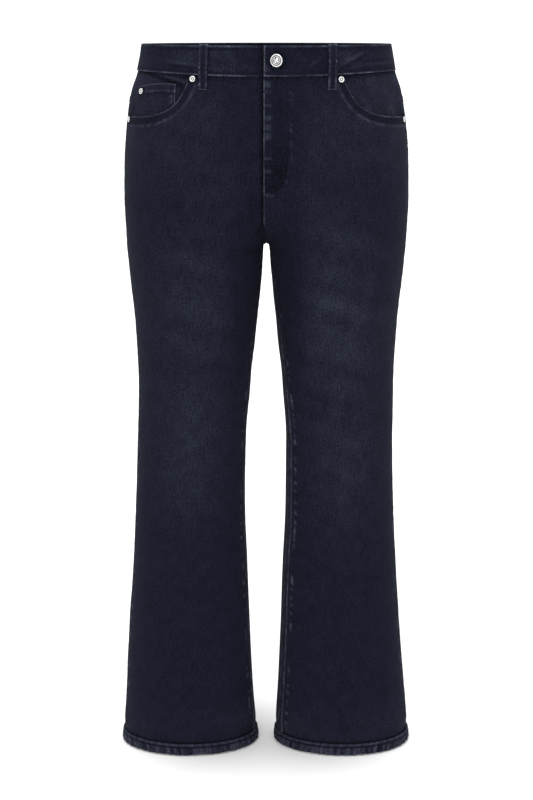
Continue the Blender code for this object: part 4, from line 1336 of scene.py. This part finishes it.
def belt_loop(name, travelled):
    positions, halves = rounded_half(-LOOP_WIDTH / 2, LOOP_WIDTH / 2, 0.85, 9, 0.8, 0.8)
    lengths = even_lines(1.2 if "front" in name else -0.8, -LOOP_LENGTH, 1.5, END_LINES)
    band_share = BAND_HEIGHT / LOOP_LENGTH
    lane = 150 + 3 * len(name)

    def place(level, across, half):
        down = np.clip(-level / LOOP_LENGTH, 0, 1)
        arch = np.sin(math.pi * np.clip(down / band_share / 1.08, 0.001, 0.999))
        base = mix(BAND_PROUD + 0.5, 0.5, ramp(down, band_share * 1.08, band_share * 1.3))
        stand = LOOP_STAND * arch**0.6
        folded_end = 0.35 * hump(down - 0.03, 0.05) + 0.35 * hump(down - 0.97, 0.05)
        edges = 0.35 * hump(np.abs(across) - 4.5, 1.1) * (half > 0)
        ripple = 0.16 * wander(level, 3.4, lane) * np.abs(across) / 5
        out = base + stand + LOOP_THICK / 2 + half + folded_end + edges + ripple
        at = travelled + across * (1 + 0.03 * wander(level, 9, lane + 1)) + loop_travel(travelled, level)
        at = at + LOOP_LEAN.get(name, 0.0) * (down - 0.3)
        points, outward = round_waist(level, at, out)
        rubbed = hump(np.abs(across) - 4.6, 1.0) * np.clip(0.55 + 0.95 * wander(level, 2.2, lane), 0, 1.25)
        wear = 0.5 * rubbed + 0.3 * hump(down, 0.04) + 0.35 * hump(1 - down, 0.03)
        wear += 0.04 - 0.12 * hump(across, 1.6)
        return points, wear * (half > 0), outward, grain(across, level)

    return folded_strip(
        name, lengths, positions, halves, place, True,
        flat=(0.011, 0.056), held="folded", rests_on=["waistband"],
    )


LOOP_PIECES = {name: belt_loop(name, at) for name, at in LOOPS.items()}

# %% The hems
def hem(side):
    positions, halves = rounded_half(HEM_TOP, HEM, HEM_THICK / 2, 9, 0.8, 1.6)
    lengths = np.linspace(0, 1, 231)
    lane = 170 + 5 * side

    def place(turn, level, half):
        front, back = reach(side, FRONT, level), reach(side, BACK, level)
        travelled = turn * (front + back)
        around = travelled - front
        from_top = HEM_TOP - level
        # roping: the fold is pulled askew by its stitches, into slanting waves. A whole number of them
        # goes round, and the loose line starts and ends alike.
        start = ramp(turn, 0.0, 0.04) * (1 - ramp(turn, 0.96, 1.0))
        slant = 2 * math.pi * (46 * turn + 0.035 * from_top) + 1.5 * wander(travelled, 24, lane) * start
        roping = 0.40 * np.sin(slant) * ramp(from_top, 1, 9) + 0.3 * wander(travelled, 9, lane + 1) * start
        pinch = 0.45 * hump(from_top - 2.0, 1.2)
        out = HEM_PROUD - HEM_THICK / 2 + half + np.where(half > 0, roping - pinch, 0.3 * roping)
        dropped = level - 0.35 * wander(travelled, 12, lane + 2) * start * ramp(from_top, 8, 16)
        points = on_jeans(side, dropped, around, out)
        outward = read_map(side, level, around)[1]
        uneven = np.clip(0.6 + 0.5 * np.sin(slant) + 0.3 * wander(travelled, 4, lane + 3), 0, 1.4)
        foot = hump(from_top - HEM_HEIGHT, 2.2)
        line = hump(from_top - 1.9, 0.8) * ramp(from_top, 0.3, 1.2)
        broken = np.clip(0.8 + 0.5 * wander(travelled, 7, lane + 4), 0, 1.3)
        wear = 0.16 * uneven * foot + 0.34 * line * broken
        wear += 0.07 * np.sin(slant) + 0.16 * wander(travelled, 3.2, lane + 5) * ramp(from_top, 2, 6)
        # a little even wear, and painted shade in a line beside the pinched row of stitches
        wear += 0.15 - 0.3 * hump(from_top - 4.6, 1.6)
        return points, wear * (half > -0.5), outward, grain(travelled, level)

    return folded_strip(
        f"hem_{SIDE_NAMES[side]}", lengths, positions, halves, place, False,
        flat=(0.53, 0.018), held="folded", rests_on=[f"front_{SIDE_NAMES[side]}", f"back_{SIDE_NAMES[side]}"],
    )


HEMS = {side: hem(side) for side in (RIGHT, LEFT)}


# %% [markdown]
# ## Metal
#
# The waist button is a shank button: a thin brass shell, plated, pressed over a stem that goes through the
# cloth. Its rim is rolled and its middle is domed, with two sunk rings and small beads. A rivet is a smaller
# cap with a sunk ring round the head of its nail. Each starts as a primitive cylinder whose top is inset and
# moved up or down, ring by ring.

# %% Plated metal
def steel(name, colour, roughness, grime):
    """Plated metal, a little rougher where its noise says that grime sits."""
    material = plain(name, colour, roughness, 1.0)
    tree = material.node_tree
    shader = tree.nodes["Principled BSDF"]
    place = put(tree, "TexCoord").outputs["Object"]
    cloud = put(tree, "TexNoise", {"Vector": place, "Scale": 900.0}).outputs["Fac"]
    dull = put(tree, "MapRange", {0: cloud, 1: 0.45, 2: 0.7, 3: roughness, 4: roughness + grime})
    tree.links.new(dull.outputs[0], shader.inputs["Roughness"])
    return material


BRIGHT = steel("steel_bright", (0.80, 0.79, 0.78), 0.24, 0.2)
# dark metal: a pattern on the button's dome, and painted shade and reflection in the caps' sunk rings
DARK_STEEL_AND_SHADE = steel("steel_darkened", (0.13, 0.13, 0.14), 0.35, 0.2)


# %% Pressed caps
def cap(name, radius, rings, sunk, segments=48):
    """A disc cap, its foot at z 0. rings: radius and height of each circle from the rim inwards, mm.
    sunk: from and to of each sunk ring, which gets the dark metal as painted shade and reflection."""
    deselect()
    first_height = rings[0][1]
    bpy.ops.mesh.primitive_cylinder_add(vertices=segments, radius=radius * MM, depth=first_height * MM)
    piece = bpy.context.object
    piece.name = piece.data.name = name
    mesh = bmesh.new()
    mesh.from_mesh(piece.data)
    bmesh.ops.translate(mesh, verts=mesh.verts, vec=(0, 0, first_height / 2 * MM))
    mesh.faces.ensure_lookup_table()
    top = max(mesh.faces, key=lambda face: face.calc_center_median().z)
    last = radius
    for ring_radius, height in rings[1:]:
        bmesh.ops.inset_region(mesh, faces=[top], thickness=(last - ring_radius) * MM, use_even_offset=True)
        for corner in top.verts:
            flat = Vector((corner.co.x, corner.co.y, 0)).normalized() * ring_radius * MM
            corner.co = (flat.x, flat.y, height * MM)
        last = ring_radius
    mesh.to_mesh(piece.data)
    mesh.free()
    soften = piece.modifiers.new("pressed edges", "BEVEL")
    soften.width, soften.segments, soften.limit_method = 0.12 * MM, 2, "ANGLE"
    apply_modifiers(piece)
    smooth(piece.data)
    piece.data.materials.append(BRIGHT)
    piece.data.materials.append(DARK_STEEL_AND_SHADE)
    for polygon in piece.data.polygons:
        away = math.hypot(polygon.center.x, polygon.center.y) / MM
        polygon.material_index = int(any(inner < away < outer for inner, outer in sunk))
    return piece


def stand_on(piece, point, normal):
    """Moves a cap's points so that its foot lies on a point, its axis along the normal."""
    place = Matrix.Translation(point) @ Vector(normal).to_track_quat("Z", "Y").to_matrix().to_4x4()
    piece.data.transform(place)
    piece.data.update()


def finish_metal(piece, node):
    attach(piece, "root")
    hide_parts(node)


# %% The waist button
BEADS, BEAD_RING, BEAD_RADIUS, BEAD_HEIGHT = 16, 6.0, 0.42, 1.35
PETALS, PETAL_TURN, PETAL_FROM, PETAL_TO = 4, 0.6, 1.0, 3.1
STEM_RADIUS, STEM_LENGTH, STEM_DOWN = 3.0, 2.0, 0.7


def waist_button():
    rings = (
        (8.1, 0.7), (8.45, 1.25), (8.3, 1.75), (7.7, 2.1), (7.0, 2.05), (6.5, 1.5), (6.3, 1.25), (5.7, 1.25),
        (5.4, 1.55), (5.1, 1.75), (4.6, 1.7), (4.2, 1.4), (3.9, 1.3), (3.3, 1.55), (2.6, 1.9), (1.8, 2.1),
        (0.9, 2.2),
    )
    piece = cap("waist_button_cap", 8.1, rings, ((5.2, 6.7), (3.2, 4.35)))
    # a plain pattern: four dark petals on the dome, and sixteen small beads in the outer ring
    for polygon in piece.data.polygons:
        x, y, _ = polygon.center / MM
        wave = math.sin(PETALS * math.atan2(y, x) + PETAL_TURN)
        petal = PETAL_FROM < math.hypot(x, y) < PETAL_TO and wave > 0.45
        polygon.material_index = max(polygon.material_index, int(petal))
    beads = []
    for index in range(BEADS):
        deselect()
        bpy.ops.mesh.primitive_uv_sphere_add(segments=10, ring_count=6, radius=BEAD_RADIUS * MM)
        bead = bpy.context.object
        turn = 2 * math.pi * index / BEADS
        across, up = BEAD_RING * MM * math.cos(turn), BEAD_RING * MM * math.sin(turn)
        bead.data.materials.append(BRIGHT)
        bead.data.transform(Matrix.Translation((across, up, BEAD_HEIGHT * MM)))
        smooth(bead.data)
        beads.append(bead)
    set_active(piece)
    for bead in beads:
        bead.select_set(True)
    bpy.ops.object.join()
    # a short stem, down into the cloth
    points, _ = round_waist(BUTTON_LEVEL, -BUTTON_ACROSS, BAND_PROUD + 2.4)
    axis = Matrix.Rotation(math.radians(-BUTTON_TURN), 3, "Z") @ Vector((0, -1, 0))
    stand_on(piece, Vector(points[0]), axis)
    deselect()
    bpy.ops.mesh.primitive_cylinder_add(vertices=24, radius=STEM_RADIUS * MM, depth=STEM_LENGTH * MM)
    stem = bpy.context.object
    stem.data.materials.append(BRIGHT)
    stem.data.transform(Matrix.Translation((0, 0, -STEM_DOWN * MM)))
    stand_on(stem, Vector(points[0]), axis)
    set_active(piece)
    stem.select_set(True)
    bpy.ops.object.join()
    finish_metal(piece, "waist_button")


waist_button()

# %% The rivets
def rivet(name, side, level, along, out):
    rings = (
        (3.8, 0.35), (3.95, 0.75), (3.8, 1.1), (3.4, 1.3), (2.8, 1.3), (2.35, 1.05), (2.1, 0.7), (1.65, 0.65),
        (1.35, 0.95), (1.1, 1.2), (0.7, 1.3),
    )
    piece = cap(f"{name}_cap", 3.8, rings, ((1.2, 2.35),), 32)
    point = on_jeans(side, level, -along, out)[0]
    stand_on(piece, Vector(point), read_map(side, level, -along)[1][0])
    finish_metal(piece, name)


for rivet_name, spot in METAL_SPOTS.items():
    rivet(rivet_name, *spot)


# %% [markdown]
# ## Stitches
#
# Jeans are sewn with a thick thread, about three stitches to the centimetre. Here it is a dark indigo like
# the cloth. One stitch is a primitive cylinder, bulged in the middle and sunk at both ends, where the needle
# went through. A seam is a line of places on the form. The line is walked at the stitch's length, each place
# is dropped onto the cloth by a ray, and a copy of the stitch is laid there along the line.

# %% One stitch
STITCH_LENGTH, STITCH_PITCH, THREAD_WIDE, THREAD_HIGH = 2.75, 3.1, 0.62, 0.42


def one_stitch():
    deselect()
    lying = (0, math.pi / 2, 0)
    bpy.ops.mesh.primitive_cylinder_add(
        vertices=6, radius=0.5, depth=1, end_fill_type="TRIFAN", rotation=lying,
    )
    piece = bpy.context.object
    bpy.ops.object.transform_apply(location=False, rotation=True, scale=False)
    mesh = bmesh.new()
    mesh.from_mesh(piece.data)
    for x in (-0.3, 0.0, 0.3):
        everything = mesh.verts[:] + mesh.edges[:] + mesh.faces[:]
        bmesh.ops.bisect_plane(mesh, geom=everything, plane_co=(x, 0, 0), plane_no=(1, 0, 0))
    for vertex in mesh.verts:
        x, y, z = vertex.co
        full = math.sqrt(max(0.05, 1 - (2 * x) ** 4))
        vertex.co = (
            x * STITCH_LENGTH * MM,
            y * THREAD_WIDE * full * MM,
            (z * THREAD_HIGH * full + 0.10 - 0.5 * (2 * x) ** 4) * MM,
        )
    mesh.normal_update()
    mesh.to_mesh(piece.data)
    mesh.free()
    return piece


STITCH = one_stitch()
STITCH_POINTS = np.array([vertex.co for vertex in STITCH.data.vertices])
STITCH_FACES = [tuple(polygon.vertices) for polygon in STITCH.data.polygons]
bpy.data.objects.remove(STITCH)
THREAD = plain("thread", (0.0125, 0.0125, 0.021), 0.8)
THREAD.node_tree.nodes["Principled BSDF"].inputs["Specular IOR Level"].default_value = 0.08


# %% Laying stitches on the cloth
ABOVE_CLOTH, TACK_PITCH = 6.0, 0.62


def drop_on(pieces, point, normal):
    """Where a line down onto the cloth from above a point meets it, or None."""
    start = Vector(point) + Vector(normal) * ABOVE_CLOTH * MM
    hits = []
    for piece in pieces:
        hit, place, facing, _ = piece.ray_cast(start, -Vector(normal), distance=2.2 * ABOVE_CLOTH * MM)
        if hit:
            hits.append(((place - start).length, place, facing))
    return min(hits, key=lambda found: found[0])[1:] if hits else None


def walk_line(points, pitch):
    """Places along a polyline, pitch mm apart, as an index with a fraction."""
    walked = np.concatenate([[0], np.cumsum(np.linalg.norm(np.diff(points, axis=0), axis=1))]) / MM
    count = int(walked[-1] / pitch)
    if count < 1:
        return np.array([])
    return np.interp((np.arange(count) + 0.5) * walked[-1] / count, walked, np.arange(len(points)))


def places_on(line, pieces, pitch):
    """Places pitch mm apart on the cloth under a line: the spot, the way along, and the way out."""
    points, normals = line
    whole = np.arange(len(points))

    def at(values, place):
        return np.array([np.interp(place, whole, values[:, axis]) for axis in range(3)])

    for place in walk_line(points, pitch):
        normal = at(normals, place)
        found = drop_on(pieces, at(points, place), normal / np.linalg.norm(normal))
        if found is None:
            continue
        along = Vector(at(points, place + 0.4) - at(points, place - 0.4)).normalized()
        yield found[0], along, (found[1] - along * found[1].dot(along)).normalized()


def laid_stitches(line, pieces, pitch=STITCH_PITCH, scale=1.0):
    """Copies of the stitch along a line, as arrays of points. None lies quite straight."""
    made = []
    for count, (spot, along, up) in enumerate(places_on(line, pieces, pitch)):
        along = Matrix.Rotation(0.1 * WANDER[(count * 7) % WANDER_COUNT], 3, up) @ along
        turned = np.column_stack([along, up.cross(along), up])
        made.append(STITCH_POINTS * scale @ turned.T + np.array(spot))
    return made


def bartack(line, pieces, across=2.0):
    """A dense block of stitches laid across a short line."""
    made = []
    for count, (spot, along, up) in enumerate(places_on(line, pieces, TACK_PITCH)):
        side_way = Matrix.Rotation(0.12 * (-1) ** count, 3, up) @ up.cross(along)
        turned = np.column_stack([side_way * across / STITCH_LENGTH, up.cross(side_way), up])
        made.append(STITCH_POINTS @ turned.T + np.array(spot + up * 0.08 * MM))
    return made


def stitch_object(name, batches):
    """One object from many copies of the stitch."""
    copies = [copy for batch in batches for copy in batch]
    size = len(STITCH_POINTS)
    firsts = range(0, size * len(copies), size)
    faces = [tuple(corner + first for corner in face) for first in firsts for face in STITCH_FACES]
    mesh = bpy.data.meshes.new(name)
    mesh.from_pydata(np.vstack(copies).tolist(), [], faces)
    smooth(mesh)
    piece = bpy.data.objects.new(name, mesh)
    bpy.context.scene.collection.objects.link(piece)
    mesh.materials.append(THREAD)
    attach(piece, "root")
    print(name, len(copies), "stitches")


# %% Lines of stitches
def on_side(side, level, around):
    """A line on one side, as points and normals."""
    level, around = np.broadcast_arrays(np.asarray(level, float), np.asarray(around, float))
    return on_jeans(side, level, around), read_map(side, level, around)[1]


def mouth_line(side, inset):
    """A line inset mm from the pocket mouth's edge, on the front panel."""
    flow = scoop_flow()
    along = SCOOP_CURVE[:, 0] + flow[:, 1] * inset
    level = SCOOP_CURVE[:, 1] - flow[:, 0] * inset
    keep = (level < PANEL_TOP - 1.0) & (along > OUTSEAM + 1.0)
    return on_side(side, level[keep], -along[keep])


LEVELS_DOWN = np.arange(PANEL_TOP - 2, HEM_TOP + 1, -2.0)
LEG_DOWN = np.arange(CROTCH - 12, HEM_TOP + 1, -2.0)


def sew_fronts():
    for side in (RIGHT, LEFT):
        front, back = [FRONTS[side]], [BACKS[side]]
        name = SIDE_NAMES[side]
        mouth = [laid_stitches(mouth_line(side, inset), front) for inset in (1.7, 11.5)]
        stitch_object(f"stitches_mouth_{name}", mouth)
        inseam = []
        for inset in (1.6, 7.6):
            around = front_end(side, LEG_DOWN) - inset
            inseam.append(laid_stitches(on_side(side, LEG_DOWN, -around), front))
        stitch_object(f"stitches_inseam_{name}", inseam)
        below = LEVELS_DOWN[LEVELS_DOWN > -230]
        top = below[below < PANEL_TOP - 2]
        back_line = on_side(side, top, np.full(len(top), -OUTSEAM + 1.8))
        short = laid_stitches(back_line, back + [YOKES[side]])
        outseam = on_side(side, LEVELS_DOWN[LEVELS_DOWN < MOUTH_FOOT - 3], -OUTSEAM - 1.6)
        stitch_object(f"stitches_outseam_{name}", [laid_stitches(outseam, front), short])


def sew_fly():
    fly, front = [], [FRONTS[LEFT]]
    level = np.arange(PANEL_TOP - 1.5, CROTCH + 6, -1.5)
    for inset, above in ((1.4, 22), (6.6, 6)):
        chosen = level < J_END + above
        around = -(front_end(LEFT, level) - inset)
        fly.append(laid_stitches(on_side(LEFT, level[chosen], around[chosen]), front))
    for inset in (0.0, 5.6):
        down = np.arange(PANEL_TOP - 1.5, J_END + inset * 0.55, -1.0)
        squeeze = (J_END - J_STRAIGHT + inset * 0.5) / (J_END - J_STRAIGHT)
        bend = np.where(down > J_STRAIGHT, down, J_STRAIGHT + (down - J_STRAIGHT) / squeeze)
        around = reach(LEFT, FRONT, down) - j_distance(np.maximum(bend, J_END + 0.01)) + inset
        fly.append(laid_stitches(on_side(LEFT, down, -around), front))
    for tack in TACKS:
        level = np.full(2, tack)
        around = -front_end(LEFT, level) + np.array([1.5, 11.0])
        fly.append(bartack(on_side(LEFT, level, around), front, across=1.7))
    stitch_object("stitches_fly", fly)


def sew_coin():
    across = np.linspace(0.02, 0.985, 60)
    made = []
    for inset in (1.6, 10.8):
        along = COIN_FROM + COIN_WIDTH * across
        level = coin_top(across) - inset
        made.append(laid_stitches(on_side(RIGHT, level, -coin_turn(along, level + inset, level)), [COIN]))
    for inset in (1.6, 6.8):
        for along in (COIN_FROM + inset, COIN_FROM + COIN_WIDTH - inset):
            top = float(coin_top((along - COIN_FROM) / COIN_WIDTH))
            down = np.arange(top - inset, COIN_BOTTOM + 2, -2.0)
            made.append(laid_stitches(on_side(RIGHT, down, -coin_turn(along, top, down)), [COIN]))
    stitch_object("stitches_coin_pocket", made)


def sew_waistband():
    made = []
    for level in (-2.6, -BAND_HEIGHT + 2.2):
        ring = float(sum(ring_parts(np.full(1, level))).item())
        travelled = np.arange(36.0, ring + BAND_OVER - 1.5, 2.0)
        travelled = np.concatenate([np.arange(4.5, 36.0, 2.0), travelled])
        made.append(laid_stitches(round_waist(level, travelled, 1.0), [BAND]))
    # down the lapped end
    level = np.arange(-3.5, -BAND_HEIGHT + 2.5, -1.0)
    made.append(laid_stitches(round_waist(level, BAND_OVER - 1.9, 1.0), [BAND]))
    stitch_object("stitches_waistband", made)
    tacks = []
    for name, at in LOOPS.items():
        for level in (-1.6, -LOOP_LENGTH + 2.0):
            shift = loop_travel(at, np.full(2, level))
            line = round_waist(np.full(2, level), np.array([at - 4.2, at + 4.2]) + shift, 3.0)
            tacks.append(bartack(line, [LOOP_PIECES[name]], across=1.9))
        level = np.arange(-4.0, -LOOP_LENGTH + 4.5, -1.5)
        for across in (-3.4, 3.4):
            line = round_waist(level, at + across + loop_travel(at, level), 3.0)
            tacks.append(laid_stitches(line, [LOOP_PIECES[name]], scale=0.8, pitch=2.5))
    stitch_object("stitches_belt_loops", tacks)


def sew_hems():
    for side in (RIGHT, LEFT):
        level = HEM_TOP - 1.9
        whole = float(reach(side, FRONT, level) + reach(side, BACK, level))
        around = np.arange(0.5, whole, 1.5) - float(reach(side, FRONT, level))
        line = on_side(side, np.full(len(around), level), around)
        stitch_object(f"stitches_hem_{SIDE_NAMES[side]}", [laid_stitches(line, [HEMS[side]])])


def sew_backs():
    for side in (RIGHT, LEFT):
        name = SIDE_NAMES[side]
        share = np.linspace(0.01, 0.99, 120)
        yoke_rows = []
        for inset in (1.6, 7.4):
            level = yoke_seam(share) + inset
            around = mix(-OUTSEAM, reach(side, BACK, level), share)
            yoke_rows.append(laid_stitches(on_side(side, level, around), [YOKES[side]]))
        stitch_object(f"stitches_yoke_{name}", yoke_rows)
        patch = []
        for inset in (1.6, 7.0):
            for rows in pocket_outline(inset):
                level, around = pocket_spot(side, rows[:, 0], rows[:, 1])
                patch.append(laid_stitches(on_side(side, level, around), [BACK_POCKETS[side]]))
        for inset in (2.0, 13.5):
            across = np.linspace(0.015, 0.985, 90)
            level, around = pocket_spot(side, across, np.full(90, inset / (POCKET_HEIGHT - 10)))
            patch.append(laid_stitches(on_side(side, level, around), [BACK_POCKETS[side]]))
        for across in (0.035, 0.965):
            level, around = pocket_spot(side, np.full(2, across), np.array([0.005, 0.07]))
            patch.append(bartack(on_side(side, level, around), [BACK_POCKETS[side]]))
        stitch_object(f"stitches_back_pocket_{name}", patch)
    level = np.arange(-BAND_HEIGHT - 3, CROTCH + 5, -1.5)
    centre = []
    for inset in (1.6, 7.4):
        line = on_side(LEFT, level, reach(LEFT, BACK, level) - inset)
        centre.append(laid_stitches(line, [BACKS[LEFT], YOKES[LEFT]]))
    stitch_object("stitches_centre_back", centre)


def pocket_outline(inset):
    """Side, foot, foot and side of a back pocket's outline, inset mm, as rows of across and down."""
    edge, low = inset / POCKET_WIDTH, 1 - inset / (POCKET_HEIGHT - 6)
    down = np.linspace(0.01, low, 50)
    sides = [np.column_stack([np.full(50, across), down]) for across in (edge, 1 - edge)]
    halves = (np.linspace(edge, 0.5, 30), np.linspace(0.5, 1 - edge, 30))
    foot = [np.column_stack([across, np.full(30, low)]) for across in halves]
    return [sides[0], *foot, sides[1]]


sew_fronts()
sew_fly()
sew_coin()
sew_waistband()
sew_hems()
sew_backs()

# %% [markdown]
# ## Studio
#
# A white floor and a white surround, as in a catalogue picture, with a broad soft light overhead that puts
# the shadow under the hems, and a dimmer one from the front and the left that shows the folds.

# %% Floor, lights and camera
FLOOR_LEVEL = -1.016
bpy.ops.mesh.primitive_plane_add(size=120, location=(0, 0, FLOOR_LEVEL))
floor = bpy.context.object
floor.name = "floor"
floor.data.materials.append(plain("floor_white", (0.88, 0.88, 0.88), 1.0))


def sun(name, strength, softness, tilt, turn):
    """A distant lamp: tilt from straight down, and turn about the upright, in degrees."""
    bpy.ops.object.light_add(type="SUN", rotation=(math.radians(tilt), 0, math.radians(turn)))
    lamp = bpy.context.object
    lamp.name = name
    lamp.data.energy = strength
    lamp.data.angle = math.radians(softness)


sun("overhead", 1.3, 12.0, -1.6, 0)
sun("front", 0.7, 25.0, 52.0, -12.0)

world = bpy.data.worlds.new("white_surround")
bpy.context.scene.world = world
world.use_nodes = True
world.node_tree.nodes["Background"].inputs["Color"].default_value = (1, 1, 1, 1)
world.node_tree.nodes["Background"].inputs["Strength"].default_value = 1.1

CAMERA_PITCH, CAMERA_AWAY, CAMERA_UP, CAMERA_LENS = 13.7075, 2.15, 0.03, 70
CAMERA_TILT = math.radians(90 - CAMERA_PITCH)
bpy.ops.object.camera_add(location=(0, -CAMERA_AWAY, CAMERA_UP), rotation=(CAMERA_TILT, 0, 0))
camera = bpy.context.object
camera.data.lens = CAMERA_LENS
bpy.context.scene.camera = camera
bpy.context.scene.view_settings.view_transform = "Standard"
